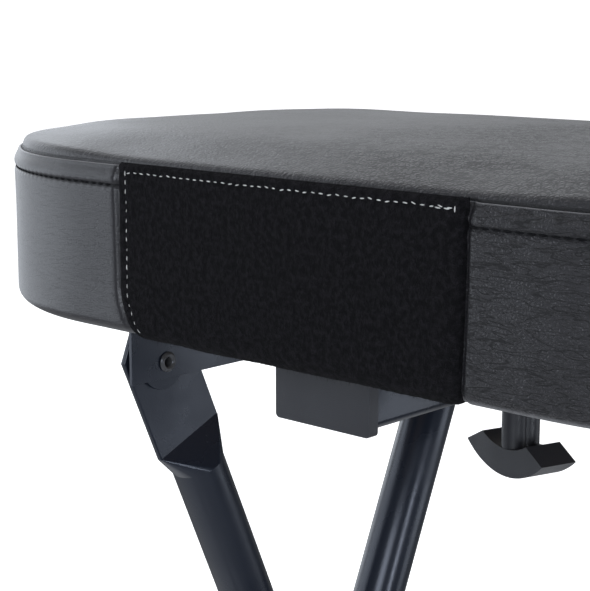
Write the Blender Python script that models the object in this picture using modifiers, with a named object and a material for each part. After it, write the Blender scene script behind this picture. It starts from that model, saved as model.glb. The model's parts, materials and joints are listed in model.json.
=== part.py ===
"""Folding guitar stool: padded seat on a crossed-leg frame, with a fold-out cradle for a guitar.

Model axes: X to the sitter's left and right, Y from the seat's front to its back, Z up.
Lengths along Y are measured from the seat's front face until the root empty centres the stool.
"""

import math

import bmesh
import bpy
from mathutils import Matrix, Vector

MM = 0.001

# Fits shared by every joint of two pieces
GAP = 0.3 * MM
MERGE = 0.001 * MM
ROUND_SIDES = 24
SMALL_SIDES = 16
SCREW_SIDES = 10

# Padded seat
SEAT_WIDTH = 516 * MM
SEAT_DEPTH = 306 * MM
SEAM_HEIGHT = 610 * MM
SEAT_WALL = 75 * MM
SEAT_CROWN = 8.5 * MM
CROWN_FULLNESS = 6
FRONT_CORNER = 130 * MM
REAR_CORNER = 130 * MM
RIM_RADIUS = 10 * MM
SEAM_TUCK = 1.2 * MM
BOARD_THICKNESS = 12 * MM
BOARD_RECESS = 10 * MM
FELT_WIDTH = 190 * MM
FELT_THICKNESS = 1.5 * MM
FELT_TUCK = math.radians(118)

# Seat rails and their screws
RAIL_INSET = 118 * MM
RAIL_HEIGHT = 50 * MM
RAIL_WALL = 2 * MM
RAIL_FLANGE = 25 * MM
RAIL_BEND = 4 * MM
RAIL_FRONT = 44 * MM
RAIL_TAIL = 13 * MM
RAIL_SCREWS = 3
SCREW_SHANK = 4.5 * MM
SCREW_HEAD = 9 * MM
SCREW_HEAD_HEIGHT = 3 * MM
SCREW_GRIP = 8 * MM

# Folding legs
LEG_TUBE = 28.6 * MM
LEG_WALL = 1.5 * MM
LEG_ANGLE = math.radians(23.5)
PIVOT_SETBACK = 67.3 * MM
PIVOT_DROP = 41.8 * MM
LATCH_INSET = 34.7 * MM
FLAT_THICKNESS = 3 * MM
FLAT_EDGE = 0.9 * MM
FLAT_BELOW = 47 * MM
FLAT_ABOVE = 23.5 * MM
FLAT_CHAMFER = 12 * MM
CRIMP_LENGTH = 32 * MM
PIVOT_WASHER = 1.6 * MM
CROSS_WASHER = 2.4 * MM
LEG_OVERRUN = 22 * MM

# Pivot rivets, crossing bolts and latch pins
RIVET_SHANK = 6.4 * MM
RIVET_BORE = 4.6 * MM
RIVET_RING = 10.4 * MM
RIVET_HEAD = 13 * MM
RIVET_LIP = 1.6 * MM
CROSS_BOLT = 8 * MM
BOLT_HEAD = 18 * MM
BOLT_HEAD_HEIGHT = 5 * MM
NUT_ACROSS = 13 * MM
NUT_HEIGHT = 6.5 * MM
PIN_DIAMETER = 10 * MM
PIN_HEAD = 15 * MM
PIN_HEAD_HEIGHT = 3 * MM
PIN_CLEARANCE = 0.5 * MM
PIN_REACH = 4 * MM
FLIP_PER_FOLD = 2.5

# Ground tubes and rubber feet
GROUND_LENGTH = 450 * MM
GROUND_AXIS = 18 * MM
FOOT_RADIUS = 20 * MM
FOOT_SLEEVE = 32 * MM
FOOT_END = 5 * MM
FOOT_CHAMFER = 2 * MM
BRACE_TUBE = 20 * MM
BRACE_HEIGHT = 99 * MM

# Footrest on the inner legs
FOOTREST_TUBE = 22 * MM
FOOTREST_HEIGHT = 225 * MM
GRIP_DIAMETER = 30 * MM
GRIP_INSET = 16 * MM
GRIP_RIBS = 9
GRIP_GROOVE = 1.2 * MM

# Guitar cradle on the inner legs
CRADLE_HEIGHT = 130 * MM
CRADLE_BAR = 19 * MM
CRADLE_SLEEVE = 25.4 * MM
CRADLE_SIDE_PLAY = 2.5 * MM
ARM_ROD = 10 * MM
ARM_INSET = 30 * MM
ARM_REACH = 230 * MM
ARM_TILT = math.radians(8)
TIP_ANGLE = math.radians(100)
TIP_LENGTH = 62 * MM
ARM_BEND = 24 * MM
FOAM_DIAMETER = 22 * MM
FOAM_START = 42 * MM
CAP_BALL = 26 * MM

# Socket beam under the seat, and its clamp
BEAM_WIDTH = 50 * MM
BEAM_HEIGHT = 40 * MM
BEAM_WALL = 2 * MM
BEAM_CORNER = 4 * MM
BEAM_REAR_INSET = 28 * MM
CAP_SETBACK = 27.7 * MM
CAP_LIP = 5.7 * MM
CAP_OVERHANG = 1.8 * MM
CAP_PLUG = 14 * MM
COLLAR_LIP = 3 * MM
COLLAR_SLEEVE = 22 * MM
COLLAR_WALL = 3 * MM
BEAM_SCREW_SPREAD = 75 * MM
BEAM_ACCESS_HOLE = 13 * MM
KNOB_SETBACK = 175.8 * MM
KNOB_TURN = math.radians(-18)
KNOB_THICKNESS = 20.8 * MM
KNOB_DROP = 44 * MM
KNOB_OUTER_RADIUS = 45.3 * MM
KNOB_OUTER_SPAN = 30.7 * MM
KNOB_INNER_RADIUS = 34.2 * MM
KNOB_INNER_SPAN = 17.8 * MM
KNOB_WEB = 14 * MM
HUB_LOBE = 12.4 * MM
HUB_SPREAD = 4.2 * MM
STUD_DIAMETER = 6 * MM
STUD_REACH = 6 * MM
BOSS_DIAMETER = 20 * MM
BOSS_HEIGHT = 10 * MM

# Heights that follow from the seat
RIM_BOTTOM = SEAM_HEIGHT - SEAT_WALL
BOARD_BOTTOM = RIM_BOTTOM + BOARD_RECESS
BOARD_TOP = BOARD_BOTTOM + BOARD_THICKNESS
BOARD_INSET = 2 * RIM_RADIUS
PIVOT_HEIGHT = BOARD_BOTTOM - PIVOT_DROP
BEAM_TOP = BOARD_BOTTOM - GAP
BEAM_BOTTOM = BEAM_TOP - BEAM_HEIGHT
BEAM_FRONT = CAP_SETBACK + CAP_LIP + GAP
BEAM_REAR = SEAT_DEPTH - BEAM_REAR_INSET
BOSS_BOTTOM = BEAM_BOTTOM - GAP - BOSS_HEIGHT
KNOB_TOP = BOSS_BOTTOM - GAP
KNOB_BOTTOM = KNOB_TOP - KNOB_DROP

# Places across the stool, on its +X side
RAIL_X = SEAT_WIDTH / 2 - RAIL_INSET
OUTER_LEG_X = RAIL_X + RAIL_WALL + PIVOT_WASHER + 2 * GAP + FLAT_THICKNESS / 2
INNER_LEG_X = OUTER_LEG_X - LEG_TUBE - CROSS_WASHER - 2 * GAP
INNER_LEG_FACE = INNER_LEG_X - LEG_TUBE / 2
ARM_X = INNER_LEG_FACE - ARM_INSET

# Flattened tube keeps its girth, so its width follows from the tube
FLAT_WIDTH = math.pi * (LEG_TUBE - LEG_WALL) / 2 + LEG_WALL

# Side view of the crossed legs, as (y, z)
TOP_SPAN = SEAT_DEPTH - PIVOT_SETBACK - LATCH_INSET
LATCH_SETBACK = PIVOT_SETBACK + TOP_SPAN
CROSS_SETBACK = PIVOT_SETBACK + TOP_SPAN / 2
CROSS_HEIGHT = PIVOT_HEIGHT - TOP_SPAN / 2 / math.tan(LEG_ANGLE)
LEG_LENGTH = (PIVOT_HEIGHT - GROUND_AXIS) / math.cos(LEG_ANGLE)
LEG_SPREAD = (PIVOT_HEIGHT - GROUND_AXIS) * math.tan(LEG_ANGLE)
REAR_GROUND_Y = PIVOT_SETBACK + LEG_SPREAD
FRONT_GROUND_Y = LATCH_SETBACK - LEG_SPREAD


def outer_leg_y(height):
    """Y of the outer legs' centre line at a height."""
    return PIVOT_SETBACK + (PIVOT_HEIGHT - height) * math.tan(LEG_ANGLE)


def inner_leg_y(height):
    """Y of the inner legs' centre line at a height."""
    return LATCH_SETBACK - (PIVOT_HEIGHT - height) * math.tan(LEG_ANGLE)


# Cradle arm: a straight run from the bar, one bend, and an upturned tip
ARM_HEADING = math.pi - ARM_TILT
ARM_TURN = ARM_HEADING - TIP_ANGLE
BEND_TANGENT = ARM_BEND * math.tan(ARM_TURN / 2)
ARM_STRAIGHT = ARM_REACH - BEND_TANGENT
ARM_BEND_END = ARM_STRAIGHT + ARM_BEND * ARM_TURN
ARM_END = ARM_BEND_END + TIP_LENGTH - BEND_TANGENT
BEND_STEPS = 6


def arm_point(distance):
    """(y, z) from the cradle bar's axis, a distance along the arm's centre line."""
    heading = Vector((math.cos(ARM_HEADING), math.sin(ARM_HEADING)))
    bend_start = heading * ARM_STRAIGHT
    if distance <= ARM_STRAIGHT:
        return heading * distance
    inward = Vector((heading.y, -heading.x))
    centre = bend_start + inward * ARM_BEND
    swept = min((distance - ARM_STRAIGHT) / ARM_BEND, ARM_TURN)
    on_bend = centre - (inward * math.cos(swept) - heading * math.sin(swept)) * ARM_BEND
    tip_heading = Vector((math.cos(TIP_ANGLE), math.sin(TIP_ANGLE)))
    return on_bend + tip_heading * max(distance - ARM_BEND_END, 0)


# Root empty: the stool stands centred over the origin, from the cradle's tips to the seat's back
CRADLE_AXIS = Vector((0, inner_leg_y(CRADLE_HEIGHT), CRADLE_HEIGHT))
TIP_FRONT = CRADLE_AXIS.y + arm_point(ARM_END).x - CAP_BALL / 2
SEAT_FRONT_Y = -(SEAT_DEPTH + TIP_FRONT) / 2

BODY_POINT = {
    "outer_frame": Vector((0, 0, 0)),
    "inner_frame": Vector((0, CROSS_SETBACK, CROSS_HEIGHT)),
    "seat": Vector((0, PIVOT_SETBACK, PIVOT_HEIGHT)),
    "cradle": CRADLE_AXIS,
    "knob": Vector((0, KNOB_SETBACK, KNOB_TOP)),
}
BODY_PARENT = {"inner_frame": "outer_frame", "seat": "outer_frame", "cradle": "inner_frame", "knob": "seat"}

# Colour, roughness and metallic value of each finish
FINISHES = {
    "black_vinyl": ((0.030, 0.031, 0.035), 0.48, 0.0),
    "black_felt": ((0.008, 0.008, 0.009), 0.95, 0.0),
    "plywood": ((0.42, 0.29, 0.17), 0.75, 0.0),
    "painted_steel": ((0.035, 0.036, 0.040), 0.38, 0.0),
    "moulded_plastic": ((0.030, 0.031, 0.034), 0.55, 0.0),
    "rubber": ((0.018, 0.018, 0.019), 0.85, 0.0),
    "foam": ((0.022, 0.022, 0.023), 0.95, 0.0),
    "zinc": ((0.55, 0.55, 0.56), 0.35, 1.0),
    "nylon": ((0.60, 0.60, 0.57), 0.55, 0.0),
}

ACROSS = Vector((1, 0, 0))
UP = Vector((0, 0, 1))
UPRIGHT = Matrix.Rotation(math.pi / 2, 3, "X")
SIDEWAYS = Matrix(((0, 0, 1), (1, 0, 0), (0, 1, 0)))
SIDES = {"left": -1, "right": 1}

for leftover in list(bpy.data.objects):
    bpy.data.objects.remove(leftover)
stool = bpy.data.collections.new("guitar_stool")
cutters = bpy.data.collections.new("cutters")
bpy.context.scene.collection.children.link(stool)
bpy.context.scene.collection.children.link(cutters)
bodies = {}


def add_bodies():
    """One empty for each moving body, on its joint's axis, under the root empty."""
    root = bpy.data.objects.new("stool_origin", None)
    root.location.y = SEAT_FRONT_Y
    stool.objects.link(root)
    for name, point in BODY_POINT.items():
        empty = bpy.data.objects.new(name + "_axis", None)
        stool.objects.link(empty)
        parent = BODY_PARENT.get(name)
        empty.parent = bodies[parent] if parent else root
        empty.location = point - (BODY_POINT[parent] if parent else Vector())
        bodies[name] = empty


def finish(name):
    material = bpy.data.materials.get(name)
    if material is None:
        colour, roughness, metallic = FINISHES[name]
        material = bpy.data.materials.new(name)
        material.use_nodes = True
        shader = material.node_tree.nodes["Principled BSDF"]
        shader.inputs["Base Color"].default_value = (*colour, 1)
        shader.inputs["Roughness"].default_value = roughness
        shader.inputs["Metallic"].default_value = metallic
    return material


def place(obj, body, point, turn):
    obj.parent = bodies[body]
    obj.location = Vector(point) - BODY_POINT[body]
    if turn is not None:
        obj.rotation_euler = turn.to_euler()


def along(direction):
    """The turn that takes a piece's own +Z to a direction."""
    return UP.rotation_difference(Vector(direction)).to_matrix()


def add_part(name, mesh, look, body, point, turn=None):
    obj = bpy.data.objects.new(name, mesh)
    stool.objects.link(obj)
    mesh.materials.append(finish(look))
    place(obj, body, point, turn)
    return obj


def add_cutter(mesh, body, point, turn=None):
    obj = bpy.data.objects.new("cutter", mesh)
    cutters.objects.link(obj)
    obj.hide_render = True
    obj.display_type = "WIRE"
    place(obj, body, point, turn)
    return obj


def boolean(obj, tool, operation="DIFFERENCE"):
    modifier = obj.modifiers.new(operation.lower(), "BOOLEAN")
    modifier.operation = operation
    modifier.object = tool


def close_mesh(bm, name):
    """Weld, face outwards and smooth a bmesh, and return it as a mesh."""
    bmesh.ops.remove_doubles(bm, verts=bm.verts, dist=MERGE)
    bmesh.ops.recalc_face_normals(bm, faces=bm.faces)
    mesh = bpy.data.meshes.new(name)
    bm.to_mesh(mesh)
    bm.free()
    mesh.shade_smooth()
    mesh.set_sharp_from_angle(angle=math.radians(35))
    return mesh


def curve_mesh(curve):
    """A curve's solid as a closed mesh."""
    holder = bpy.data.objects.new("outline", curve)
    stool.objects.link(holder)
    solid = holder.evaluated_get(bpy.context.evaluated_depsgraph_get())
    mesh = bpy.data.meshes.new_from_object(solid)
    bm = bmesh.new()
    bm.from_mesh(mesh)
    bpy.data.objects.remove(holder)
    bpy.data.meshes.remove(mesh)
    return close_mesh(bm, "solid")


def slab_mesh(outlines, thickness):
    """A flat plate: the first outline's area, less the outlines inside it."""
    curve = bpy.data.curves.new("plate", "CURVE")
    curve.dimensions = "2D"
    curve.fill_mode = "BOTH"
    curve.extrude = thickness / 2
    for outline in outlines:
        spline = curve.splines.new("POLY")
        spline.points.add(len(outline) - 1)
        for knot, (across, up) in zip(spline.points, outline):
            knot.co = (across, up, 0, 1)
        spline.use_cyclic_u = True
    return curve_mesh(curve)


def swept_mesh(points, radius):
    """A round rod along a line of points."""
    curve = bpy.data.curves.new("rod", "CURVE")
    curve.dimensions = "3D"
    curve.bevel_depth = radius
    curve.bevel_resolution = 4
    curve.use_fill_caps = True
    spline = curve.splines.new("POLY")
    spline.points.add(len(points) - 1)
    for knot, point in zip(spline.points, points):
        knot.co = (*point, 1)
    return curve_mesh(curve)


def cylinder_mesh(radius, length, sides=ROUND_SIDES):
    bm = bmesh.new()
    bmesh.ops.create_cone(
        bm, cap_ends=True, segments=sides, radius1=radius, radius2=radius, depth=length
    )
    return close_mesh(bm, "cylinder")


def box_mesh(width, depth, height):
    bm = bmesh.new()
    bmesh.ops.create_cube(bm, size=1)
    bmesh.ops.scale(bm, vec=(width, depth, height), verts=bm.verts)
    return close_mesh(bm, "box")


def add_turned(name, profile, look, body, point, direction, sides=ROUND_SIDES):
    """A turned piece: (radius, height) points down its outer side, spun about a direction."""
    mesh = bpy.data.meshes.new(name)
    edges = [(i, i + 1) for i in range(len(profile) - 1)]
    if profile[0][0] > 0:
        edges.append((len(profile) - 1, 0))
    mesh.from_pydata([(radius, 0, height) for radius, height in profile], edges, [])
    obj = add_part(name, mesh, look, body, point, along(direction))
    screw = obj.modifiers.new("turn", "SCREW")
    screw.axis = "Z"
    screw.steps = sides
    screw.render_steps = sides
    screw.use_merge_vertices = True
    screw.merge_threshold = MERGE
    screw.use_smooth_shade = True
    return obj


def ring_profile(outer, inner, bottom, top):
    return [(outer, top), (outer, bottom), (inner, bottom), (inner, top)]


def dome(radius, height, steps=4):
    """(radius, height) points of a domed head, from its crown to its edge."""
    swing = [math.pi / 2 * i / steps for i in range(steps + 1)]
    return [(radius * math.sin(a), height * math.cos(a)) for a in swing]


def drill(obj, body, middle, direction, diameter, length, sides=ROUND_SIDES):
    """Cut a round hole through a piece."""
    boolean(obj, add_cutter(cylinder_mesh(diameter / 2, length, sides), body, middle, along(direction)))


def arc(centre, radius, start, end, steps):
    """Points of an arc, both ends included, with angles in degrees."""
    swing = [math.radians(start + (end - start) * i / steps) for i in range(steps + 1)]
    return [(centre[0] + radius * math.cos(a), centre[1] + radius * math.sin(a)) for a in swing]


def rounded_rectangle(width, height, corner, steps=4):
    u = width / 2 - corner
    v = height / 2 - corner
    centres = ((u, v, 0), (-u, v, 90), (-u, -v, 180), (u, -v, 270))
    return [p for x, y, a in centres for p in arc((x, y), corner, a, a + 90, steps)]


def seat_outline(inset, steps=7):
    """The seat's plan, drawn in by an inset, with the same number of points at every inset."""
    least = 4 * RIM_RADIUS
    front = max(FRONT_CORNER - inset, least)
    rear = max(REAR_CORNER - inset, least)
    half = SEAT_WIDTH / 2 - inset
    back = SEAT_DEPTH - inset
    corners = (
        (half - front, inset + front, front, 270),
        (half - rear, back - rear, rear, 0),
        (rear - half, back - rear, rear, 90),
        (front - half, inset + front, front, 180),
    )
    return [p for x, y, radius, a in corners for p in arc((x, y), radius, a, a + 90, steps)]


def rim_points(offset, first, last, steps):
    """(y, z) round the front rim's roll, offset outwards; 0 faces forward and 180 faces back."""
    centre = (RIM_RADIUS, RIM_BOTTOM + RIM_RADIUS)
    return arc(centre, RIM_RADIUS + offset, 180 + first, 180 + last, steps)


def add_cushion():
    """Crowned cushion with a rolled lower rim and a pocket for the board, as stacked seat outlines."""
    levels = [(BOARD_INSET, BOARD_TOP + GAP)]
    levels += reversed(rim_points(0, 0, 180, 8))
    levels += [
        (0, SEAM_HEIGHT - SEAT_WALL / 3),
        (SEAM_TUCK / 2, SEAM_HEIGHT - SEAT_WALL / 8),
        (SEAM_TUCK, SEAM_HEIGHT),
    ]
    crown_reach = SEAT_DEPTH / 2 - REAR_CORNER / 2
    for share in (0.03, 0.10, 0.25, 0.5, 1):
        rise = SEAT_CROWN * (1 - (1 - share) ** CROWN_FULLNESS)
        levels.append((SEAM_TUCK + crown_reach * share, SEAM_HEIGHT + rise))
    bm = bmesh.new()
    rings = [[bm.verts.new((x, y, z)) for x, y in seat_outline(inset)] for inset, z in levels]
    for lower, upper in zip(rings, rings[1:]):
        for i in range(len(lower)):
            bm.faces.new((lower[i - 1], lower[i], upper[i], upper[i - 1]))
    bm.faces.new(rings[0])
    bm.faces.new(rings[-1])
    add_part("seat_cushion", close_mesh(bm, "seat_cushion"), "black_vinyl", "seat", (0, 0, 0))


def add_felt_panel():
    """Felt facing on the seat's flat front, tucked under the rim."""
    last = math.degrees(FELT_TUCK)
    top = SEAM_HEIGHT - GAP
    inner = [(-GAP, top)] + rim_points(GAP, 0, last, 7)
    outer = [(-GAP - FELT_THICKNESS, top)] + rim_points(GAP + FELT_THICKNESS, 0, last, 7)
    mesh = slab_mesh([inner + outer[::-1]], FELT_WIDTH)
    add_part("felt_panel", mesh, "black_felt", "seat", (0, 0, 0), SIDEWAYS)


def rail_screw_places():
    """Y of each screw along a rail, clear of its pivot and its latch notch."""
    first = RAIL_FRONT + RAIL_FLANGE
    last = LATCH_SETBACK - RAIL_FLANGE
    return [first + (last - first) * i / (RAIL_SCREWS - 1) for i in range(RAIL_SCREWS)]


def beam_screw_places():
    middle = (BEAM_FRONT + BEAM_REAR) / 2
    return (middle - BEAM_SCREW_SPREAD, middle + BEAM_SCREW_SPREAD)


def rail_screw_x():
    return RAIL_X - RAIL_FLANGE / 2 - RAIL_WALL


def add_board():
    """Plywood seat board, with pilot holes for the screws of the rails and the beam."""
    board = add_part(
        "seat_board",
        slab_mesh([seat_outline(BOARD_INSET + GAP)], BOARD_THICKNESS),
        "plywood",
        "seat",
        (0, 0, BOARD_BOTTOM + BOARD_THICKNESS / 2),
    )
    places = [(side * rail_screw_x(), y) for side in SIDES.values() for y in rail_screw_places()]
    places += [(0, y) for y in beam_screw_places()]
    pilot = SCREW_SHANK + 2 * GAP
    for x, y in places:
        depth = 2 * (SCREW_GRIP + 2 * GAP)
        drill(board, "seat", (x, y, BOARD_BOTTOM), UP, pilot, depth, SCREW_SIDES)


def add_screw(name, body, x, y, head_top, tip):
    """Pan-head wood screw, its head under a plate and its shank up in the board."""
    head = SCREW_HEAD / 2
    shank = SCREW_SHANK / 2
    crown = head_top - SCREW_HEAD_HEIGHT
    profile = [
        (0, tip),
        (shank, tip - shank),
        (shank, head_top),
        (head, head_top),
        (head, head_top - SCREW_HEAD_HEIGHT / 2),
        (head / 2, crown),
        (0, crown),
    ]
    turned = [(radius, height - crown) for radius, height in profile]
    add_turned(name, turned, "zinc", body, (x, y, crown), UP, SCREW_SIDES)


def latch_exit():
    """Unit (y, z) in which a latch pin leaves its notch, seen from the seat, as the legs fold."""
    rise = PIVOT_HEIGHT - CROSS_HEIGHT
    exit_path = Vector((-rise, TOP_SPAN / 2 - FLIP_PER_FOLD * TOP_SPAN))
    return exit_path.normalized()


def add_rail(side_name, side):
    """Angle rail: a pivot hole at the front, a hooked notch for the latch pin at the back."""
    rear = LATCH_SETBACK + RAIL_TAIL
    length = rear - RAIL_FRONT
    top = BOARD_BOTTOM - GAP
    bottom = top - RAIL_HEIGHT
    outside = RAIL_X + RAIL_WALL
    inner_end = RAIL_X - RAIL_FLANGE
    outline = [(inner_end, top - RAIL_WALL), (inner_end, top)]
    outline += arc((outside - RAIL_BEND, top - RAIL_BEND), RAIL_BEND, 90, 0, 4)
    outline += [(outside, bottom), (RAIL_X, bottom)]
    inner_bend = RAIL_BEND - RAIL_WALL
    outline += arc((RAIL_X - inner_bend, top - RAIL_BEND), inner_bend, 0, 90, 3)
    mesh = slab_mesh([[(side * x, z) for x, z in outline]], length)
    middle = RAIL_FRONT + length / 2
    rail = add_part(f"seat_rail_{side_name}", mesh, "painted_steel", "seat", (0, middle, 0), UPRIGHT)
    wall = (side * (RAIL_X + RAIL_WALL / 2), PIVOT_SETBACK, PIVOT_HEIGHT)
    drill(rail, "seat", wall, ACROSS, RIVET_SHANK + 2 * GAP, 6 * RAIL_WALL, SMALL_SIDES)
    for y in rail_screw_places():
        spot = (side * rail_screw_x(), y, top)
        drill(rail, "seat", spot, UP, SCREW_SHANK + 2 * GAP, 6 * RAIL_WALL, SCREW_SIDES)
    notch = PIN_DIAMETER / 2 + PIN_CLEARANCE
    run = latch_exit() * 2 * PIN_DIAMETER
    heading = math.degrees(math.atan2(run.y, run.x))
    slot = arc((0, 0), notch, heading + 90, heading + 270, 8)
    slot += arc((run.x, run.y), notch, heading - 90, heading + 90, 8)
    spot = (side * (RAIL_X + RAIL_WALL / 2), LATCH_SETBACK, PIVOT_HEIGHT)
    boolean(rail, add_cutter(slab_mesh([slot], 6 * RAIL_WALL), "seat", spot, SIDEWAYS))


def add_rail_screws(side_name, side):
    top = BOARD_BOTTOM - GAP
    for number, y in enumerate(rail_screw_places(), 1):
        head_top = top - RAIL_WALL - GAP
        tip = BOARD_BOTTOM + SCREW_GRIP
        add_screw(f"rail_screw_{side_name}_{number}", "seat", side * rail_screw_x(), y, head_top, tip)


def add_beam():
    """Rectangular socket beam, open at the back for a plug-in bar, with its screws and clamp hole."""
    middle = (BEAM_FRONT + BEAM_REAR) / 2
    bore = rounded_rectangle(
        BEAM_WIDTH - 2 * BEAM_WALL, BEAM_HEIGHT - 2 * BEAM_WALL, BEAM_CORNER - BEAM_WALL
    )
    outlines = [rounded_rectangle(BEAM_WIDTH, BEAM_HEIGHT, BEAM_CORNER), bore]
    mesh = slab_mesh(outlines, BEAM_REAR - BEAM_FRONT)
    centre = BEAM_TOP - BEAM_HEIGHT / 2
    beam = add_part("seat_beam", mesh, "painted_steel", "seat", (0, middle, centre), UPRIGHT)
    clamp_hole = (0, KNOB_SETBACK, BEAM_BOTTOM)
    drill(beam, "seat", clamp_hole, UP, STUD_DIAMETER + 2 * GAP, 4 * BEAM_WALL, SMALL_SIDES)
    for number, y in enumerate(beam_screw_places(), 1):
        drill(beam, "seat", (0, y, BEAM_TOP), UP, SCREW_SHANK + 2 * GAP, 4 * BEAM_WALL, SCREW_SIDES)
        drill(beam, "seat", (0, y, BEAM_BOTTOM), UP, BEAM_ACCESS_HOLE, 4 * BEAM_WALL, SMALL_SIDES)
        head_top = BEAM_TOP - BEAM_WALL - GAP
        add_screw(f"beam_screw_{number}", "seat", 0, y, head_top, BOARD_BOTTOM + SCREW_GRIP)


def add_beam_ends():
    """Moulded cap that closes the beam's front, and the collar that lines its open back."""
    inside = (BEAM_WIDTH - 2 * BEAM_WALL - 2 * GAP, BEAM_HEIGHT - 2 * BEAM_WALL - 2 * GAP)
    inside_corner = BEAM_CORNER - BEAM_WALL
    centre = BEAM_TOP - BEAM_HEIGHT / 2
    face = (BEAM_WIDTH + 2 * CAP_OVERHANG, BEAM_HEIGHT + CAP_OVERHANG)
    cap = add_part(
        "beam_end_cap",
        slab_mesh([rounded_rectangle(*face, BEAM_CORNER / 2)], CAP_LIP),
        "moulded_plastic",
        "seat",
        (0, CAP_SETBACK + CAP_LIP / 2, centre - CAP_OVERHANG / 2),
        UPRIGHT,
    )
    rounding = cap.modifiers.new("soft_edges", "BEVEL")
    rounding.width = CAP_OVERHANG / 2
    rounding.segments = 2
    rounding.limit_method = "ANGLE"
    plug = slab_mesh([rounded_rectangle(*inside, inside_corner)], CAP_PLUG)
    plug_middle = CAP_SETBACK + CAP_LIP / 2 + CAP_PLUG / 2
    boolean(cap, add_cutter(plug, "seat", (0, plug_middle, centre), UPRIGHT), "UNION")

    socket = (inside[0] - 2 * COLLAR_WALL, inside[1] - 2 * COLLAR_WALL)
    mouth = rounded_rectangle(*socket, inside_corner)
    lip = rounded_rectangle(BEAM_WIDTH, BEAM_HEIGHT, BEAM_CORNER)
    lip_middle = BEAM_REAR + GAP + COLLAR_LIP / 2
    collar = add_part(
        "beam_collar",
        slab_mesh([lip, mouth], COLLAR_LIP),
        "moulded_plastic",
        "seat",
        (0, lip_middle, centre),
        UPRIGHT,
    )
    sleeve = slab_mesh([rounded_rectangle(*inside, inside_corner), mouth], COLLAR_SLEEVE)
    sleeve_middle = lip_middle - COLLAR_SLEEVE / 2
    boolean(collar, add_cutter(sleeve, "seat", (0, sleeve_middle, centre), UPRIGHT), "UNION")


def add_clamp():
    """Threaded boss under the beam, and the wing knob with its stud."""
    bore = STUD_DIAMETER / 2 + GAP
    boss = ring_profile(BOSS_DIAMETER / 2, bore, 0, BOSS_HEIGHT)
    add_turned("clamp_boss", boss, "painted_steel", "seat", (0, KNOB_SETBACK, BOSS_BOTTOM), UP)

    turn = Matrix.Rotation(KNOB_TURN, 3, "Z")
    outer_half = math.degrees(math.asin(KNOB_OUTER_SPAN / KNOB_OUTER_RADIUS))
    inner_half = math.degrees(math.asin(KNOB_INNER_SPAN / KNOB_INNER_RADIUS))
    outer_centre = (0, KNOB_BOTTOM + KNOB_OUTER_RADIUS)
    inner_centre = (0, KNOB_BOTTOM + KNOB_WEB + KNOB_INNER_RADIUS)
    crescent = arc(outer_centre, KNOB_OUTER_RADIUS, 270 - outer_half, 270 + outer_half, 14)
    crescent += arc(inner_centre, KNOB_INNER_RADIUS, 270 + inner_half, 270 - inner_half, 8)
    spot = (0, KNOB_SETBACK, 0)
    knob = add_part(
        "wing_knob", slab_mesh([crescent], KNOB_THICKNESS), "moulded_plastic", "knob", spot, turn @ UPRIGHT
    )
    hub_bottom = KNOB_BOTTOM + KNOB_WEB / 2
    hub_length = KNOB_TOP - hub_bottom
    for end in SIDES.values():
        lobe = cylinder_mesh(HUB_LOBE / 2, hub_length)
        offset = turn @ Vector((0, end * HUB_SPREAD, 0))
        middle = Vector((0, KNOB_SETBACK, hub_bottom + hub_length / 2)) + offset
        boolean(knob, add_cutter(lobe, "knob", middle), "UNION")
    seat_depth = KNOB_DROP - KNOB_WEB
    drill(knob, "knob", (0, KNOB_SETBACK, KNOB_TOP), UP, 2 * bore, 2 * seat_depth, SMALL_SIDES)

    stud_bottom = KNOB_TOP - seat_depth + GAP
    stud_top = BEAM_BOTTOM + BEAM_WALL + STUD_REACH
    radius = STUD_DIAMETER / 2
    length = stud_top - stud_bottom
    profile = [(0, length), (radius * 2 / 3, length), (radius, length - radius), (radius, 0), (0, 0)]
    add_turned("knob_stud", profile, "zinc", "knob", (0, KNOB_SETBACK, stud_bottom), UP, SMALL_SIDES)


def flat_leg_mesh(tube_length):
    """Tube leg along its own -Z from the pivot: flattened head, crimped shoulder, then round tube."""
    half = FLAT_WIDTH / 2
    thick = FLAT_THICKNESS / 2
    shoulder = FLAT_ABOVE - FLAT_CHAMFER
    bm = bmesh.new()

    def head_loop(x, inset):
        """The head's outline from the crimp on one side, over the top, to the crimp on the other."""
        reach = half - inset
        crest = half - FLAT_CHAMFER - inset / 2
        points = [
            (reach, -FLAT_BELOW),
            (reach, shoulder - inset / 2),
            (crest, FLAT_ABOVE - inset),
            (-crest, FLAT_ABOVE - inset),
            (-reach, shoulder - inset / 2),
            (-reach, -FLAT_BELOW),
        ]
        return [bm.verts.new((x, y, z)) for y, z in points]

    faces = {1: head_loop(thick, FLAT_EDGE), -1: head_loop(-thick, FLAT_EDGE)}
    edge = head_loop(0, 0)
    for loop in faces.values():
        bm.faces.new(loop)
        for i in range(len(edge) - 1):
            bm.faces.new((loop[i], loop[i + 1], edge[i + 1], edge[i]))

    crimp_end = -FLAT_BELOW - CRIMP_LENGTH
    radius = LEG_TUBE / 2

    def tube_ring(z):
        ring = arc((0, 0), radius, 0, 360, ROUND_SIDES)[:-1]
        return [bm.verts.new((x, y, z)) for x, y in ring]

    top = tube_ring(crimp_end)
    quarter = ROUND_SIDES // 4
    for sign, loop in faces.items():
        apex = 0 if sign > 0 else 2 * quarter
        for end, corner in ((1, loop[0]), (-1, loop[-1])):
            step = end * sign
            fan = [top[(apex + step * i) % ROUND_SIDES] for i in range(quarter + 1)]
            for near, far in zip(fan, fan[1:]):
                bm.faces.new((corner, near, far))
            rim = edge[0] if end > 0 else edge[-1]
            bm.faces.new((corner, rim, fan[-1]))
        bm.faces.new((loop[0], loop[-1], top[apex]))

    bottom = tube_ring(-tube_length)
    for i in range(ROUND_SIDES):
        bm.faces.new((top[i - 1], top[i], bottom[i], bottom[i - 1]))
    bm.faces.new(bottom)
    return close_mesh(bm, "outer_leg")


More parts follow.
